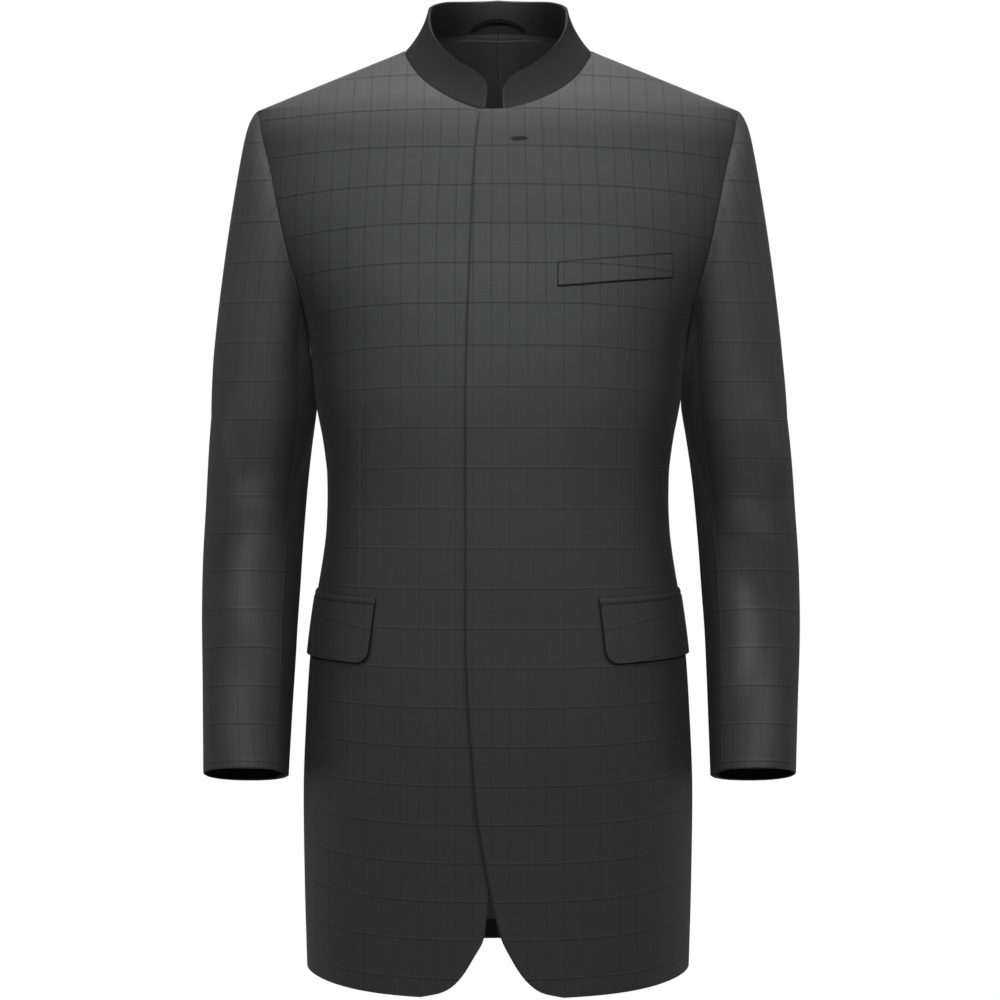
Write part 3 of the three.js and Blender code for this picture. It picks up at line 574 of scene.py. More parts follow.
def cloth_object(name, outer, inner, uv, materials, inner_slot=0, values=None, rim_slot=0, normals=None):
    """A closed shell between two grids, with a rounded rim round its four edges.

    The rim's line lies midway between the grids and a little outside the last points.
    A value is one grid for both sides of the cloth, or one for each."""
    rows, columns = outer.shape[:2]
    count = rows * columns

    def rim(outer_edge, inner_edge, beside):
        middle = (outer_edge + inner_edge) / 2
        half_wall = np.linalg.norm(outer_edge - inner_edge, axis=-1, keepdims=True) / 2
        return middle + unit(middle - beside) * half_wall * 0.7

    mid = (outer + inner) / 2
    first_rim = rim(outer[:, 0], inner[:, 0], mid[:, 1])
    last_rim = rim(outer[:, -1], inner[:, -1], mid[:, -2])
    low_rim = rim(outer[0], inner[0], mid[1])
    high_rim = rim(outer[-1], inner[-1], mid[-2])
    points = np.concatenate([
        outer.reshape(-1, 3), inner.reshape(-1, 3), first_rim, last_rim, low_rim[1:-1], high_rim[1:-1],
    ])
    at = np.arange(count).reshape(rows, columns)
    first = 2 * count + np.arange(rows)
    last = 2 * count + rows + np.arange(rows)
    low = np.concatenate([[first[0]], 2 * count + 2 * rows + np.arange(columns - 2), [last[0]]])
    high_start = 2 * count + 2 * rows + columns - 2
    high = np.concatenate([[first[-1]], high_start + np.arange(columns - 2), [last[-1]]])

    def strip(a, b):
        return np.stack([a[:-1], a[1:], b[1:], b[:-1]], -1)

    outer_faces = np.stack([at[:-1, :-1], at[:-1, 1:], at[1:, 1:], at[1:, :-1]], -1).reshape(-1, 4)
    inner_faces = outer_faces[:, ::-1] + count
    edges = np.concatenate([
        strip(at[:, 0], first), strip(first, at[:, 0] + count),
        strip(last, at[:, -1]), strip(at[:, -1] + count, last),
        strip(low, at[0]), strip(at[0] + count, low),
        strip(at[-1], high), strip(high, at[-1] + count),
    ])
    faces = np.concatenate([outer_faces, inner_faces, edges])
    a, b, c, d = (points[faces[:, k]] for k in range(4))
    volume = np.einsum("ij,ij->i", a, np.cross(b, c)).sum() + np.einsum("ij,ij->i", a, np.cross(c, d)).sum()
    if volume < 0:
        faces = faces[:, ::-1]
    slots = np.zeros(len(faces), int)
    inner_slots = np.broadcast_to(inner_slot, (rows - 1, columns - 1))
    slots[len(outer_faces):len(outer_faces) * 2] = inner_slots.ravel()
    slots[len(outer_faces) * 2:] = rim_slot

    def spread(grid, inner_grid=None):
        flat = grid.reshape(rows * columns, -1)
        inner_flat = flat if inner_grid is None else inner_grid.reshape(rows * columns, -1)
        parts = [flat, inner_flat, grid[:, 0], grid[:, -1], grid[0, 1:-1], grid[-1, 1:-1]]
        return np.concatenate([part.reshape(-1, flat.shape[1]) for part in parts])

    mesh = bpy.data.meshes.new(name)
    mesh.vertices.add(len(points))
    mesh.vertices.foreach_set("co", (points * MILLIMETRE).ravel())
    mesh.loops.add(faces.size)
    mesh.loops.foreach_set("vertex_index", faces.ravel().astype(np.int32))
    mesh.polygons.add(len(faces))
    mesh.polygons.foreach_set("loop_start", np.arange(0, faces.size, 4, dtype=np.int32))
    for material in materials:
        mesh.materials.append(material)
    mesh.polygons.foreach_set("material_index", slots.astype(np.int32))
    mesh.polygons.foreach_set("use_smooth", np.ones(len(faces), bool))
    mesh.update(calc_edges=True)
    layer = mesh.uv_layers.new(name="cloth")
    layer.data.foreach_set("uv", (spread(uv)[faces.ravel()] * MILLIMETRE).ravel())
    for title, grids in (values or {}).items():
        grids = grids if isinstance(grids, tuple) else (grids,)
        attribute = mesh.attributes.new(title, "FLOAT", "POINT")
        attribute.data.foreach_set("value", spread(*(grid[..., None] for grid in grids)).ravel())
    if normals is not None:
        out = np.concatenate([
            normals.reshape(-1, 3), -normals.reshape(-1, 3),
            unit(first_rim - mid[:, 0]), unit(last_rim - mid[:, -1]),
            unit(low_rim - mid[0])[1:-1], unit(high_rim - mid[-1])[1:-1],
        ])
        mesh.normals_split_custom_set_from_vertices(out.tolist())
    return new_object(name, mesh)


def cloth_piece(node, cut, slot, side, grids, uv, materials, **looks):
    """A node's shell in its place. It stands for its solid and moves with the body. Its cut is not used."""
    outer, inner = (placed(grid, side) for grid in grids)
    obj = cloth_object(f"{node}_cloth", outer, inner, uv, materials, **looks)
    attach(obj, "root")
    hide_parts(node)


class Value:
    """A number socket of a material. Each operator on it adds one Math node."""

    def __init__(self, paint, socket):
        self.paint = paint
        self.socket = socket

    def math(self, operation, *others):
        inputs = {0: self.socket}
        for i, other in enumerate(others):
            inputs[i + 1] = other.socket if isinstance(other, Value) else other
        node = self.paint.node("ShaderNodeMath", {"operation": operation}, inputs)
        return Value(self.paint, node.outputs[0])

    def __add__(self, other):
        return self.math("ADD", other)

    def __radd__(self, other):
        return self.math("ADD", other)

    def __sub__(self, other):
        return self.math("SUBTRACT", other)

    def __rsub__(self, other):
        return self.math("MULTIPLY", -1).math("ADD", other)

    def __mul__(self, other):
        return self.math("MULTIPLY", other)

    def __truediv__(self, other):
        return self.math("DIVIDE", other)

    def fraction(self):
        return self.math("FRACT")

    def size(self):
        return self.math("ABSOLUTE")

    def sine(self):
        return self.math("SINE")

    def within(self, low, high):
        return self.math("MAXIMUM", low).math("MINIMUM", high)


class Paint:
    """A material and the nodes that it is made of."""

    def __init__(self, name):
        self.material = bpy.data.materials.new(name)
        self.material.use_nodes = True
        self.tree = self.material.node_tree
        self.tree.nodes.clear()

    def node(self, kind, settings=None, inputs=None):
        """Adds a node: its settings first, and then a value or a link for each socket."""
        made = self.tree.nodes.new(kind)
        for name, value in (settings or {}).items():
            setattr(made, name, value)
        for name, value in (inputs or {}).items():
            if isinstance(value, Value):
                value = value.socket
            if isinstance(value, bpy.types.NodeSocket):
                self.tree.links.new(value, made.inputs[name])
            else:
                made.inputs[name].default_value = value
        return made

    def attribute(self, name):
        return Value(self, self.node("ShaderNodeAttribute", {"attribute_name": name}).outputs["Fac"])

    def cloth_place(self):
        """The place on the cloth, across and along, in millimetres."""
        place = self.node("ShaderNodeUVMap", {"uv_map": "cloth"}).outputs["UV"]
        parts = self.node("ShaderNodeSeparateXYZ", {}, {"Vector": place})
        return Value(self, parts.outputs["X"]) * 1000, Value(self, parts.outputs["Y"]) * 1000

    def joined(self, across, along):
        """A vector with two parts, for a texture."""
        return self.node("ShaderNodeCombineXYZ", {}, {"X": across, "Y": along}).outputs["Vector"]

    def noise(self, vector, scale, detail=2.0, roughness=0.5):
        inputs = {"Vector": vector, "Scale": scale, "Detail": detail, "Roughness": roughness}
        return Value(self, self.node("ShaderNodeTexNoise", {}, inputs).outputs["Fac"])

    def object_place(self):
        return self.node("ShaderNodeTexCoord").outputs["Object"]

    def tinted(self, colour, brightness):
        """A fixed colour times a brightness that varies over the surface."""
        inputs = {0: colour, "Scale": brightness}
        return self.node("ShaderNodeVectorMath", {"operation": "SCALE"}, inputs).outputs["Vector"]

    def relief(self, height, depth, strength=1.0):
        inputs = {"Height": height, "Distance": depth, "Strength": strength}
        return self.node("ShaderNodeBump", {}, inputs).outputs["Normal"]

    def finish(self, **inputs):
        """The shader with these values on its own sockets. Underscores stand for spaces."""
        named = {name.replace("_", " "): value for name, value in inputs.items()}
        shader = self.node("ShaderNodeBsdfPrincipled", {}, named)
        self.node("ShaderNodeOutputMaterial", {}, {"Surface": shader.outputs["BSDF"]})
        return self.material


def line_at(distance, half_width):
    """1 on a line, falling to 0 at half_width from it."""
    return (1 - distance.size() / half_width).within(0, 1)


def line_mask(place, pitch, first, half_width):
    """1 on evenly spaced lines, falling to 0 at half_width from each."""
    distance = ((place - first) / pitch + 0.5).fraction() - 0.5
    return (1 - distance.size() * (pitch / half_width)).within(0, 1)


def wool(name, colour, has_check=False, has_dart=False, shine=0.22, sheen=0.05):
    """Napped wool: fine fibres and slubs, painted light and shade from a value at each point and, on the
    panels, a windowpane check with a painted highlight over its level lines, and lines of sewing with painted
    light and shade.
    """
    paint = Paint(name)
    across, along = paint.cloth_place()
    fibre = paint.noise(paint.object_place(), 900.0, 3.0, 0.7)
    cloud = paint.noise(paint.object_place(), 14.0, 2.0, 0.5)
    streak = paint.noise(paint.joined(across, along * 0.02), 0.9, 2.0, 0.6)
    slub = paint.noise(paint.joined(across * 0.04, along), 0.8, 2.0, 0.6)
    twill = ((across + along * 1.1) * 5.2).sine()
    threads = streak * GRAIN["streak"] + slub * GRAIN["slub"]
    brightness = GRAIN["even"] + fibre * GRAIN["fibre"] + cloud * GRAIN["cloud"] + threads
    # Painted light and shade at each point scale the wool's brightness
    brightness = brightness * (1 + paint.attribute("painted_shading"))
    height = fibre * 0.5 + twill * 0.12 + streak * 0.25
    if has_check:
        upright = line_mask(across, CHECK_WIDTH, CHECK_FIRST_UPRIGHT, LINES["upright"][0])
        level = line_mask(along, CHECK_HEIGHT, CHECK_FIRST_LEVEL - 0.5, LINES["level"][0])
        above = line_mask(along, CHECK_HEIGHT, CHECK_FIRST_LEVEL + 1.1, LINES["above"][0])
        on_chest = ((along - CHEST_LINES_FROM) / CHEST_LINES_SPAN).within(0, 1)
        shown = {name: line[1] + on_chest * line[2] for name, line in LINES.items()}
        dark = upright * shown["upright"] + level * shown["level"]
        # The line above each level line is a painted highlight, as if its top caught the light
        brightness = brightness * (1 - dark + above * shown["above"])
        height = height - upright * 0.25 - level * 0.5 + above * 0.35
    if has_dart:
        dart = paint.attribute("dart")
        dart_shown = paint.attribute("dart_shown")
        # The dart is painted as a highlight with painted shade beside it, and the lap line as a painted
        # shadow along the left front's edge
        groove = line_at(dart, 1.1) * dart_shown
        beside = line_at(dart - 1.3, 1.2) * dart_shown
        lap_painted_shadow = line_at(paint.attribute("edge"), 1.9)
        brightness = brightness * (1 + groove * 0.35 - beside * 0.12) * (1 - lap_painted_shadow * 0.6)
        height = height - groove * 1.2
    return paint.finish(
        Base_Color=paint.tinted(colour, brightness),
        Roughness=0.78,
        Specular_IOR_Level=shine,
        Sheen_Weight=sheen,
        Sheen_Roughness=0.45,
        Normal=paint.relief(height, 0.0005, 0.5),
    )


def lining_satin():
    """Smooth satin with fine weft lines, painted light and shade from a value at each point, and down the
    middle a pleat line of painted shade with a painted highlight beside it.
    """
    paint = Paint("lining_satin")
    across, along = paint.cloth_place()
    streak = paint.noise(paint.joined(across * 0.05, along), 1.3, 2.0, 0.6)
    middle = line_at(across, 1.2)
    beside = line_at(across - 1.9, 1.2)
    # The middle line is painted shade in the pleat, with a painted highlight beside it, and each point's
    # value adds painted light and shade
    brightness = (0.85 + streak * 0.3) * (1 - middle * 0.85 + beside * 0.4) * (1 + paint.attribute("painted_shading"))
    return paint.finish(
        Base_Color=paint.tinted(LINING_COLOUR, brightness),
        Roughness=0.5,
        Specular_IOR_Level=0.22,
        Normal=paint.relief(streak - middle, 0.0003, 0.4),
    )


def plain_material(name, colour, roughness, specular=0.3):
    """One even colour and gloss."""
    paint = Paint(name)
    grain = paint.noise(paint.object_place(), 700.0, 2.0, 0.6)
    return paint.finish(
        Base_Color=paint.tinted(colour, 0.85 + grain * 0.3),
        Roughness=roughness,
        Specular_IOR_Level=specular,
    )


check_wool = wool("check_wool", WOOL_COLOUR, has_check=True)
front_wool = wool("front_wool", WOOL_COLOUR, has_check=True, has_dart=True)
edge_highlight_wool = wool("edge_highlight_wool", COLLAR_EDGE_HIGHLIGHT_COLOUR)
plain_wool = wool("plain_wool", COLLAR_COLOUR, shine=0.12, sheen=0.02)
satin = lining_satin()
thread = plain_material("buttonhole_thread", THREAD_COLOUR, 0.7, 0.1)


def lap_share(x):
    """1 over the lap at the middle, easing to 0 towards the side."""
    return 1 - soft_step(x, LAP_FLAT, LAP_END)


def body_uv(points, start, side):
    """Across the cloth: x at the first column, then at least 0.7 of the way along each row.

    Along the cloth: the height, with the sag of the level lines."""
    step = np.diff(points, axis=1)
    way = np.maximum(np.abs(step[..., 0]), 0.7 * np.linalg.norm(step, axis=-1))
    across = np.concatenate([start[:, None], start[:, None] + np.cumsum(way, axis=1)], axis=1)
    x, z = points[..., 0], points[..., 2]
    out = np.clip((np.abs(x) - CHECK_SAG_FROM) / CHECK_SAG_SPAN, 0, 1)
    gather = CHECK_GATHER * soft_step(z, -200, -60) * np.tanh(x / CHECK_GATHER_WIDTH)
    return np.stack([(across + gather) * side, z + check_drop(z) + check_sag(z) * out ** 2], -1)


def body_folds(points, side, is_back):
    """Folds of the fronts or the back at these points, whose x goes towards the panel's own side."""
    folds = BACK_FOLDS if is_back else FRONT_FOLDS
    return BODY_FOLD_SHARE * fold_height(points[..., 0] * side, points[..., 2], folds)


def panel_grid(heights, start_angle, end_angle, shares, side, is_back):
    """Points and normals of a body panel on the left side: each row's angles go evenly from start to end."""
    angles = start_angle[:, None] + (end_angle - start_angle)[:, None] * shares
    z = heights[:, None] + 0 * angles
    points = body_point(angles, z)
    normals = body_normal(angles, z)
    return points + normals * body_folds(points, side, is_back)[..., None], normals


def trimmed(angle_start, angle_end, heights, at_start, at_end):
    """Moves either end of each row by half a seam gap, where its share is 1."""
    radius = np.maximum(body_half(angle_end, heights), 60)
    direction = np.sign(angle_end - angle_start)
    trim = SEAM_GAP / 2 / radius
    return angle_start + direction * trim * at_start, angle_end - direction * trim * at_end


def layered(points, normals, rise, wall):
    """The outer and the inner grid of a wall."""
    rise = np.broadcast_to(rise, points.shape[:2])[..., None]
    return points + normals * rise, points + normals * (rise - wall)


def placed(points, side):
    """The left side or its mirror image. The hem moves up at the sides and behind, and down in front."""
    side_share = np.minimum(np.abs(points[..., 0]) / HEM_HALF_WIDTH, 1) ** 4
    ahead = soft_step(-points[..., 1], -30, 60)
    middle = HEM_BACK_RISE * (1 - ahead) - HEM_DIP * ahead
    move = HEM_SIDE_RISE * side_share + middle * (1 - side_share)
    height = points[..., 2] + move * soft_step(-points[..., 2], HEM_BOW_FROM, HEM_DROP)
    return np.stack([points[..., 0] * side, points[..., 1], height], -1)


def body_painted_shading(points):
    """Painted shade along the sides, where the sleeves shade them: bells over the distance from the outline,
    with a broader one on the chest by the armholes.

    The shoulders get a little painted light and the chest's top a little painted shade."""
    x, z = points[..., 0], points[..., 2]
    distance = body_half(np.pi / 2, z) - x
    reach = band(-z, *SIDE_PAINTED_SHADE_BAND)
    side = -SIDE_PAINTED_SHADE * np.exp(-(distance / SIDE_PAINTED_SHADE_WIDTH) ** 2) * reach
    chest = CHEST_SIDE_PAINTED_SHADE * np.exp(-(distance / CHEST_SIDE_PAINTED_SHADE_WIDTH) ** 2)
    chest = chest * band(-z, *CHEST_SIDE_PAINTED_SHADE_BAND)
    top = CHEST_TOP_PAINTED_SHADE * band(-z, *CHEST_TOP_PAINTED_SHADE_BAND)
    return side - chest * (1 - 0.3 * reach) + top + SHOULDER_PAINTED_LIGHT * soft_step(z, -85, -25)


def leaning(points, side):
    """Points of a sleeve, moved along X by the lean at their height."""
    return points + np.stack([side * sleeve_lean(points[..., 2]), 0 * points[..., 1], 0 * points[..., 2]], -1)


def front_panel(side_name):
    """A front: from its edge or the neckline to the shoulder seam, the armhole or the side seam."""
    side = SIDES[side_name]
    heights = panel_heights(False)
    edge = smooth_curve(FRONT_EDGES, side_name)
    at_neck = heights > -NECK_PIT_DROP
    start = np.where(at_neck, neckline_angle(heights), front_angle(edge(heights), heights))
    start, end = trimmed(start, outer_angle(heights, False), heights, 0, 1)
    points, normals = panel_grid(heights, start, end, edge_shares(104, 0.006), side, False)
    rise = side * LAP_STEP * lap_share(points[..., 0])
    grids = layered(points, normals, rise, BODY_WALL)
    x, z = points[..., 0], points[..., 2]
    dart = DARTS[side_name]
    top, bottom = dart["z"][0], dart["z"][-1]
    lap_edge = smooth_curve(FRONT_EDGES, "left")(z)
    values = {
        "dart": (x - np.interp(-z, -np.array(dart["z"]), dart["x"])) * side,
        "dart_shown": band(z, bottom - 1, bottom, top - DART_FADE, top),
        # Distance from the left front's edge, for a painted shadow line along it on both fronts
        "edge": np.where(z > -NECK_PIT_DROP - 1, 99, side * x - lap_edge),
        # Painted shade along the sides, painted light on the shoulders and painted shade at the chest's top
        "painted_shading": body_painted_shading(points),
    }
    near_pit = np.abs(points[..., 2:] + NECK_PIT_DROP) < NECK_PIT_REACH
    shading = np.where(near_pit, normals, grid_normals(grids[0])) * (side, 1, 1)
    faces_lining = (x > FRONT_LINING_FROM) & (z > -HEM_DROP + FRONT_LINING_RISE)
    cloth_piece(f"front_{side_name}", "front", "check_wool", side, grids, body_uv(points, x[:, 0], side),
                [front_wool, satin], inner_slot=faces_lining[:-1, :-1], values=values, normals=shading)


def back_panel(side_name):
    """A back: from the centre back seam to the side seam, armhole, shoulder seam or neckline."""
    side = SIDES[side_name]
    heights = panel_heights(True)
    end = np.where(heights > 0, neckline_angle(heights), outer_angle(heights, True))
    start, end = trimmed(np.full(len(heights), np.pi), end, heights, 1, 1)
    end[-1] = start[-1] - 0.02
    points, normals = panel_grid(heights, start, end, edge_shares(76, 0.008), side, True)
    # Painted shade and light outside, as on the fronts, and painted light over the whole inside
    painted_shading = body_painted_shading(points)
    cloth_piece(f"back_{side_name}", "back", "check_wool", side, layered(points, normals, 0, BODY_WALL),
                body_uv(points, points[:, 0, 0], side), [check_wool, plain_wool], inner_slot=1,
                values={"painted_shading": (painted_shading, 0 * painted_shading + BACK_INSIDE_PAINTED_LIGHT)})


def back_lining():
    """The backs' own points, moved in, from one side seam over the middle to the other."""
    heights = panel_heights(True)
    heights = heights[(heights > -HEM_DROP + LINING_HEM_RISE) & (heights < NAPE_RISE - LINING_NECK_DROP)][::2]
    end = np.where(heights > 0, neckline_angle(heights), outer_angle(heights, True)) + 0.004
    shares = np.linspace(-1, 1, 121)
    angles = np.pi - (np.pi - end)[:, None] * shares
    points = body_point(angles, heights[:, None] + 0 * angles)
    normals = grid_normals(points)
    normals = np.where((normals[..., 1:2] < 0), -normals, normals)
    points = points + normals * body_folds(points, 1, True)[..., None]
    grids = layered(points, normals, -BODY_WALL - LINING_GAP, LINING_WALL)
    x, z = points[..., 0], points[..., 2]
    # Painted shade under the collar, painted light low down, and painted shade on the top and bottom rows;
    # the dark collar wool on the rim paints shade there too
    painted_shading = LINING_TOP_PAINTED_SHADE * soft_step(-z, 0, 70) + LINING_HEM_PAINTED_LIGHT * soft_step(-z, 700, 800)
    painted_shading[-1] = painted_shading[0] = LINING_EDGE_PAINTED_SHADE
    cloth_piece("lining_back", "lining", "lining", 1, grids, np.stack([x, z], -1), [satin, plain_wool],
                values={"painted_shading": painted_shading}, rim_slot=1)


def sleeve_ring(turn, z):
    """Superellipse ring of the arm, flatter on its inner side, tilted and set on the arm's centre line."""
    real = turn + np.radians(sleeve_ring_at["turn"](z)) * np.abs(np.sin(turn / 2))
    across, along = np.cos(real), np.sin(real)
    scale = n_norm(across, along, SLEEVE_SQUARENESS)
    ahead = along / scale
    flat_depth = INNER_FLAT_DEPTH * soft_step(-z, INNER_FLAT_TOP, INNER_FLAT_FULL)
    flat = flat_depth * (ahead - INNER_FLAT_FROM) / (INNER_FLAT_TO - INNER_FLAT_FROM) - 1
    forward = sleeve_ring_at["depth"](z) * ahead
    tilt = np.radians(sleeve_ring_at["tilt"](z))
    x = sleeve_ring_at["x"](z) + sleeve_ring_at["half"](z) * np.maximum(across / scale, flat)
    x = x - SLEEVE_TOUCH * np.exp(-((z + SLEEVE_TOUCH_LEVEL) / SLEEVE_TOUCH_REACH) ** 2)
    return np.stack([x, sleeve_ring_at["y"](z) - forward * np.cos(tilt), z + forward * np.sin(tilt)], -1)


UNDERARM = max(SLEEVE_RINGS["z"])
CUFF = min(SLEEVE_RINGS["z"])


def sleeve_head(turn, down):
    """The head opens from the armhole into the upper ring, fuller at the front and the back."""
    start = body_point(armhole_angle(turn), armhole_height(turn)) + (SLEEVE_SIDE_GAP, 0, 0)
    end = sleeve_ring(turn, UNDERARM + 0 * turn)
    outward = np.cos(turn / 2) ** 2
    lift = HEAD_LIFT * outward * (1 - np.exp(-down / HEAD_LIFT_SPAN))
    rounded = 1 - np.clip(1 - down, 0, 1) ** (1 + (HEAD_ROUNDING - 1) * outward)
    share = lift + (1 - HEAD_LIFT * outward) * rounded
    point = start + (end - start) * share[..., None]
    point[..., 2] = start[..., 2] + (end[..., 2] - start[..., 2]) * down
    full = HEAD_FULLNESS * (1 - np.exp(-down / HEAD_FULLNESS_SPAN)) * np.clip(1 - down, 0, 1) ** 1.5
    point[..., 1] -= full * np.sin(turn)
    tuck = UNDERARM_TUCK * np.maximum(0, -np.cos(turn)) ** 4 * np.sin(np.pi * np.clip(down, 0, 1) ** 2)
    point[..., 0] += 0.5 * full * np.abs(np.sin(turn)) - tuck
    return point


def sleeve_point(turn, down):
    """The head down to 1, and from there the arm to the cuff at 2."""
    arm = sleeve_ring(turn, UNDERARM + (CUFF - UNDERARM) * np.maximum(down - 1, 0))
    return np.where((down >= 1)[..., None], arm, sleeve_head(turn, np.minimum(down, 1)))


def sleeve_painted_shading(turn, down, z, side_name, part):
    """Painted highlights and shade from the table, a painted highlight on the front seam and along the head's
    edge, and painted shade on the under sleeve and where the sleeve faces the body.
    """
    if part == "sleeve_under":
        return UNDER_SLEEVE_PAINTED_SHADE * soft_step(down, 0.1, 0.8)
    degrees = np.degrees(turn)
    patches = fold_height(degrees, z, SLEEVE_PAINTED_LIGHT_AND_SHADE[side_name], ARC_PER_DEGREE)
    facing = soft_step(degrees, 92, 136) * band(-z, *SLEEVE_INNER_PAINTED_SHADE_BAND)
    seam = SEAM_PAINTED_HIGHLIGHT * soft_step(degrees, 138.6, 139.6) * soft_step(-z, 380, 440)
    edge = HEAD_EDGE_PAINTED_HIGHLIGHT * (1 - soft_step(down, 0.012, 0.035)) * soft_step(degrees, 20, 60)
    return patches + SLEEVE_INNER_PAINTED_SHADE * facing + seam + edge


def sleeve_piece(side_name, part, first_turn, last_turn, columns):
    """A sleeve part between two seams: rows go down from the armhole to the cuff."""
    side = SIDES[side_name]
    trim = SEAM_GAP / 2 / SLEEVE_SEAM_RADIUS
    shares = edge_shares(columns, 0.010)
    turns = math.radians(first_turn) + trim + (math.radians(last_turn - first_turn) - 2 * trim) * shares
    head = np.linspace(0, 1, 92) ** 1.25
    downs = np.concatenate([head, 1 + np.linspace(0, 1, 98)[1:-1], [1.9965, 2]])
    turn, down = np.meshgrid(turns, downs)
    points = sleeve_point(turn, down)
    normals = grid_normals(points)
    folded = fold_height(np.degrees(turn), points[..., 2], SLEEVE_FOLDS[side_name], ARC_PER_DEGREE)
    points = points + normals * (folded * soft_step(down, 0.05, 0.3))[..., None]
    grids = [leaning(grid, side) for grid in layered(points, normals, 0, SLEEVE_WALL)]
    level = UNDERARM + (CUFF - UNDERARM) * (down - 1)
    along = np.where(down >= 1, level, points[..., 2])
    along = along + sleeve_check_drop(along)
    along = CHECK_FIRST_LEVEL + (along - SLEEVE_FIRST_LEVEL) * CHECK_HEIGHT / SLEEVE_CHECK_HEIGHT
    # Painted light and shade of the sleeve
    painted_shading = sleeve_painted_shading(turn, down, points[..., 2], side_name, part)
    cloth_piece(f"{part}_{side_name}", part, "check_wool", side, grids,
                np.stack([SLEEVE_RADIUS_FOR_CHECK * turn, along], -1), [check_wool, satin], inner_slot=1,
                values={"painted_shading": painted_shading})


def seat_table():
    """Points of the neckline that the collar's foot stands on, with their azimuth from the front."""
    back_z = NAPE_RISE * np.sin(np.linspace(0, np.pi / 2, 120))[1:]
    z = np.concatenate([neckline_height(np.linspace(0, 1, 200)), back_z])
    points = body_point(neckline_angle(z), z)
    points[0, 0], points[-1, 0] = 0, 0
    azimuth = np.arctan2(points[:, 0], -points[:, 1])
    inward = unit(-points * (1, 1, 0)) * COLLAR_SEAT
    return azimuth, points + inward + (0, 0, COLLAR_SEAT)


SEAT_AZIMUTH, SEAT_POINTS = seat_table()


def seat_at(azimuth):
    """The foot's point at an azimuth, between the table's points."""
    return np.stack([np.interp(azimuth, SEAT_AZIMUTH, SEAT_POINTS[:, k]) for k in range(3)], -1)


def collar_point(azimuth, share):
    """From the foot to a smaller and higher ring, with a slight hollow towards the neck."""
    foot = seat_at(azimuth)
    depth = np.where(azimuth < np.pi / 2, COLLAR_TOP_FRONT, COLLAR_TOP_BACK)
    top = np.stack([COLLAR_TOP_HALF * np.sin(azimuth), -depth * np.cos(azimuth),
                    collar_top(np.degrees(azimuth))], -1)
    inward = unit(-foot * (1, 1, 0))
    hollow = COLLAR_HOLLOW * 4 * share * (1 - share)
    return foot + (top - foot) * share[..., None] + inward * hollow[..., None]


def collar():
    """A band round the neck. Its two ends stop short of each other, with rounded upper corners."""
    shares = np.concatenate([[0, 0.01, 0.04], np.linspace(0.08, 0.94, 34), [0.965, 0.985, 0.996, 1]])
    above = (shares - 1) * COLLAR_HEIGHT + COLLAR_CORNER
    pulled = corner_inset(above, COLLAR_CORNER) / body_front(-NECK_PIT_DROP)

    def half(end):
        start = np.interp(end, SEAT_POINTS[:150, 0], SEAT_AZIMUTH[:150])
        t = np.concatenate([[0, 0.002, 0.006], np.linspace(0.012, 1, 130)])
        azimuth = start + (np.pi - start) * t
        ahead = np.clip((np.pi / 2 - azimuth) / (np.pi / 2 - start), 0, 1)
        grid = azimuth[None, :] + pulled[:, None] * ahead[None, :]
        return collar_point(grid, shares[:, None] + 0 * grid)

    left = half(COLLAR_END_LEFT)
    right = half(COLLAR_END_RIGHT) * (-1, 1, 1)
    points = np.concatenate([left, right[:, -2::-1]], axis=1)
    normals = grid_normals(points)
    length = np.concatenate([[0], np.cumsum(np.linalg.norm(np.diff(points[0], axis=0), axis=-1))])
    length -= length[left.shape[1] - 1]
    uv = np.stack(np.broadcast_arrays(length[None, :], (shares * COLLAR_HEIGHT)[:, None]), -1)
    # Painted light low on the outside, painted shade at the seam with the body, and painted light on the
    # inside behind the neck
    foot = COLLAR_FOOT_PAINTED_LIGHT * (1 - soft_step(shares, 0.1, 0.5))
    foot = foot + COLLAR_SEAM_PAINTED_SHADE * (1 - soft_step(shares, 0.01, 0.04))
    inside = COLLAR_INSIDE_PAINTED_LIGHT * np.exp(-(length / COLLAR_INSIDE_PAINTED_LIGHT_WIDTH) ** 2)
    even = 0 * points[..., 0]
    # The lighter wool on the rim is a painted highlight along the collar's edges
    cloth_piece("collar", "collar", "plain_wool", 1, layered(points, normals, 0, COLLAR_WALL), uv,
                [plain_wool, satin, edge_highlight_wool], rim_slot=2,
                inner_slot=(shares[:-1, None] < COLLAR_LINED_SHARE),
                values={"painted_shading": (foot[:, None] + even, inside[None, :] + even)})


def hanger_loop():
    """Half an oval band that stands a little off the collar's inner side."""
    foot_radius = SEAT_POINTS[-1, 1]
    turn, width = np.meshgrid(np.linspace(0, np.pi, 61), np.linspace(-0.5, 0.5, 9))
    span = (LOOP_HALF_SPAN + width * LOOP_WIDTH) * np.cos(turn)
    rise = LOOP_FOOT + (LOOP_RISE + width * LOOP_WIDTH) * np.sin(turn)
    azimuth = np.pi - np.abs(span) / foot_radius
    points = collar_point(azimuth, rise / COLLAR_HEIGHT)
    inward = unit(-points * (1, 1, 0))
    points = points + inward * (COLLAR_WALL + LOOP_GAP + 0.4 + LOOP_STAND_OFF * np.sin(turn) ** 2)[..., None]
    inner = points + inward * LOOP_THICKNESS
    points[..., 0] *= np.sign(np.cos(turn))
    inner[..., 0] *= np.sign(np.cos(turn))
    uv = np.stack([turn * LOOP_HALF_SPAN, width * LOOP_WIDTH], -1)
    cloth_piece("hanger_loop", "hanger_loop", "plain_wool", 1, (points, inner), uv, [plain_wool])


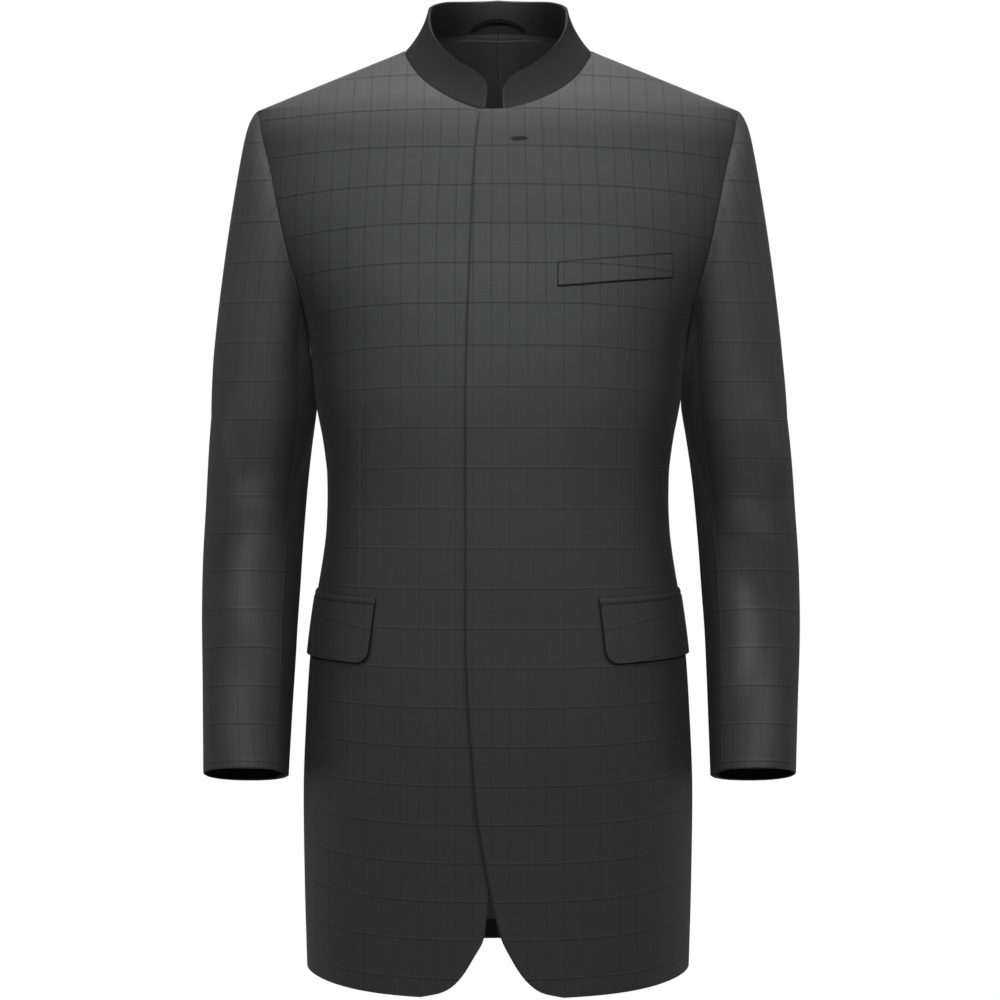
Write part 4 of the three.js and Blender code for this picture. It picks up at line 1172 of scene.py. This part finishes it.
def after_length(z, start, along):
    """Angle reached from a start angle after a length along each ring, read off a table of the ring."""
    steps = np.linspace(0, 1.9, 400)
    angles = start[:, None] + steps
    ring = body_point(angles, z[:, None] + 0 * angles)
    steps_along = np.linalg.norm(np.diff(ring, axis=1), axis=-1)
    reach = np.concatenate([np.zeros((len(z), 1)), np.cumsum(steps_along, 1)], 1)
    return np.stack([np.interp(along[i], reach[i], angles[i]) for i in range(len(z))])


def on_front(angles, z, side_name, above):
    """Outer points and normals on a front, moved out over its lap and by a height above it."""
    side = SIDES[side_name]
    points = body_point(angles, z)
    normals = body_normal(angles, z)
    rise = side * LAP_STEP * lap_share(points[..., 0]) + body_folds(points, side, False) + above
    return points, normals, rise


def welt_painted_shadow_outline(shape):
    """Painted shadow round the welt, on the outermost rows and columns of its grid."""
    outline = np.zeros(shape)
    outline[:2] = outline[-2:] = WELT_PAINTED_SHADOW_TONE
    outline[:, :2] = outline[:, -2:] = WELT_PAINTED_SHADOW_TONE
    return outline


def pocket_piece(node, cut, side_name, angles, z, above, wall, first_x):
    """A cloth piece that lies on a front, from its angles and heights."""
    side = SIDES[side_name]
    points, normals, rise = on_front(angles, z, side_name, above)
    uv = body_uv(points, first_x, side)
    painted_shading = body_painted_shading(points)
    if cut == "flap":
        uv[..., 1] -= FLAP_CHECK_TILT * (points[..., 0] - points[0, 0, 0])
    if cut == "welt":
        # Painted shadow round the welt
        painted_shading = painted_shading + welt_painted_shadow_outline(points.shape[:2])
    # The dark collar wool on the rims paints a shadow line round the piece
    cloth_piece(node, cut, "check_wool", side, layered(points, normals, rise, wall), uv,
                [check_wool, plain_wool], values={"painted_shading": painted_shading}, rim_slot=1)


def pocket_flap(side_name):
    """Rows from the free edge up: rounded lower corners, and an edge that springs off the front."""
    drops = np.concatenate([[1, 0.997, 0.99], np.linspace(0.975, 0.02, 44), [0.006, 0]])
    above = drops * FLAP_HEIGHT - FLAP_HEIGHT + FLAP_CORNER
    corner = corner_inset(above, FLAP_CORNER)
    shares = edge_shares(92, 0.006)
    along = corner[:, None] + (FLAP_LENGTH - 2 * corner)[:, None] * shares
    start_x = FLAP_START[side_name] + FLAP_SLANT * drops
    level = -FLAP_TOP_DROP - SEAM_GAP - drops * FLAP_HEIGHT
    angles = after_length(level, front_angle(start_x, level), along)
    z = level[:, None] + FLAP_TILT * along / FLAP_LENGTH
    spring = SEAM_GAP + FLAP_WALL + FLAP_SPRING * drops[:, None] + 0 * along
    pocket_piece(f"pocket_flap_{side_name}", "flap", side_name, angles, z, spring, FLAP_WALL,
                 start_x + corner)


def pocket_jet(side_name):
    """A narrow strip over the flap, slightly crowned."""
    ups = np.linspace(0, 1, 11)
    along = np.linspace(-1, FLAP_LENGTH + 1, 90)[None, :] + 0 * ups[:, None]
    level = -FLAP_TOP_DROP + JET_HEIGHT * ups
    start_x = np.full(len(ups), FLAP_START[side_name] - 1.0)
    angles = after_length(level, front_angle(start_x, level), along + 1)
    z = level[:, None] + FLAP_TILT * along / FLAP_LENGTH
    crown = SEAM_GAP + JET_WALL * (0.75 + 0.35 * np.sin(np.pi * ups))[:, None] + 0 * along
    pocket_piece(f"pocket_jet_{side_name}", "jet", side_name, angles, z, crown, JET_WALL, start_x)


def chest_welt():
    """A slanted strip on the left chest."""
    ups = np.concatenate([[0, 0.02], np.linspace(0.06, 0.94, 16), [0.98, 1]])
    share = edge_shares(70, 0.008)
    x = WELT_START[0] + (WELT_END[0] - WELT_START[0]) * share[None, :] + 0 * ups[:, None]
    z = WELT_START[1] + (WELT_END[1] - WELT_START[1]) * share[None, :] + WELT_HEIGHT * ups[:, None]
    above = SEAM_GAP + WELT_WALL + 0 * x
    pocket_piece("chest_welt", "welt", "left", front_angle(x, z), z, above, WELT_WALL, x[:, 0])


def buttonhole():
    """A closed ring of stitches: a round profile, with a wavy radius, carried along a long oval."""
    turn, ring = np.meshgrid(np.linspace(0, 2 * np.pi, 73)[:-1], np.linspace(0, 2 * np.pi, 11)[:-1])
    radius = BUTTONHOLE["thread"] * (1 + 0.12 * np.sin(turn * 36))
    reach = 1 + radius * np.cos(ring) / BUTTONHOLE["half_height"]
    across = BUTTONHOLE["half_length"] * np.cos(turn) + radius * np.cos(ring) * np.cos(turn)
    up = BUTTONHOLE["half_height"] * np.sin(turn) * reach
    x = BUTTONHOLE["x"] + across
    z = BUTTONHOLE["z"] + up + across * BUTTONHOLE["slant"]
    points, normals, rise = on_front(front_angle(x, z), z, "left", 0.1 + 0.5 * radius * (1 + np.sin(ring)))
    points = points + normals * rise[..., None]
    rows, columns = turn.shape
    at = np.arange(rows * columns).reshape(rows, columns)
    beside, above = np.roll(at, -1, axis=1), np.roll(at, -1, axis=0)
    faces = np.stack([at, beside, np.roll(beside, -1, axis=0), above], -1).reshape(-1, 4)
    mesh = bpy.data.meshes.new("buttonhole_stitching")
    mesh.from_pydata((points.reshape(-1, 3) * MILLIMETRE).tolist(), [], faces.tolist())
    mesh.materials.append(thread)
    mesh.polygons.foreach_set("use_smooth", np.ones(len(faces), bool))
    mesh.update()
    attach(new_object("buttonhole_stitching", mesh), "root")


def area_light(name, place, target, size, power):
    """A soft square light at a place, turned to a target, in metres and watts."""
    lamp = bpy.data.lights.new(name, "AREA")
    lamp.shape = "SQUARE"
    lamp.size = size
    lamp.energy = power
    obj = new_object(name, lamp)
    start = np.array(place, float)
    away = start - np.array(target, float)
    away /= np.linalg.norm(away)
    obj.location = place
    obj.rotation_euler = (math.acos(away[2]), 0, math.atan2(away[0], -away[1]))
    return obj


def studio():
    """A white surround, a pale round floor well under the hem, and soft lights from all sides."""
    scene = bpy.context.scene
    scene.view_settings.view_transform = "Standard"
    world = bpy.data.worlds.new("studio")
    world.use_nodes = True
    nodes, links = world.node_tree.nodes, world.node_tree.links
    surround = nodes["Background"]
    surround.inputs["Color"].default_value = (1, 1, 1, 1)
    surround.inputs["Strength"].default_value = SURROUND_LIGHT
    backdrop = nodes.new("ShaderNodeBackground")
    backdrop.inputs["Color"].default_value = (1, 1, 1, 1)
    choice = nodes.new("ShaderNodeMixShader")
    links.new(nodes.new("ShaderNodeLightPath").outputs["Is Camera Ray"], choice.inputs[0])
    links.new(surround.outputs[0], choice.inputs[1])
    links.new(backdrop.outputs[0], choice.inputs[2])
    links.new(choice.outputs[0], nodes["World Output"].inputs["Surface"])
    scene.world = world
    bpy.ops.mesh.primitive_cylinder_add(vertices=96, radius=1.5, depth=0.02, location=(0, 0, -1.5))
    floor = bpy.context.object
    floor.name = "floor"
    floor.data.materials.append(plain_material("pale_floor", FLOOR_COLOUR, 0.9))
    for side in SIDES.values():
        for name, (x, y, z), target, size, power in PAIRED_LIGHTS:
            area_light(name, (x * side, y, z), target, size, power)
    for light in MIDDLE_LIGHTS:
        lamp = area_light(*light)
    lamp.data.spread = math.radians(CHEST_BEAM_SPREAD)


def camera():
    """A level camera in front, near half the height of the garment."""
    lens = bpy.data.cameras.new("camera")
    lens.sensor_width = 36
    lens.lens = CAMERA_LENS
    lens.shift_x, lens.shift_y = CAMERA_SHIFT
    obj = new_object("camera", lens)
    obj.location = CAMERA_PLACE
    obj.rotation_euler = (math.pi / 2, 0, 0)
    bpy.context.scene.camera = obj


for side_name in SIDES:
    front_panel(side_name)
    back_panel(side_name)
    sleeve_piece(side_name, "sleeve_top", SLEEVE_BACK_SEAM, SLEEVE_FRONT_SEAM, 84)
    sleeve_piece(side_name, "sleeve_under", SLEEVE_FRONT_SEAM, SLEEVE_BACK_SEAM + 360, 40)
    pocket_flap(side_name)
    pocket_jet(side_name)
back_lining()
collar()
hanger_loop()
chest_welt()
buttonhole()
studio()
camera()
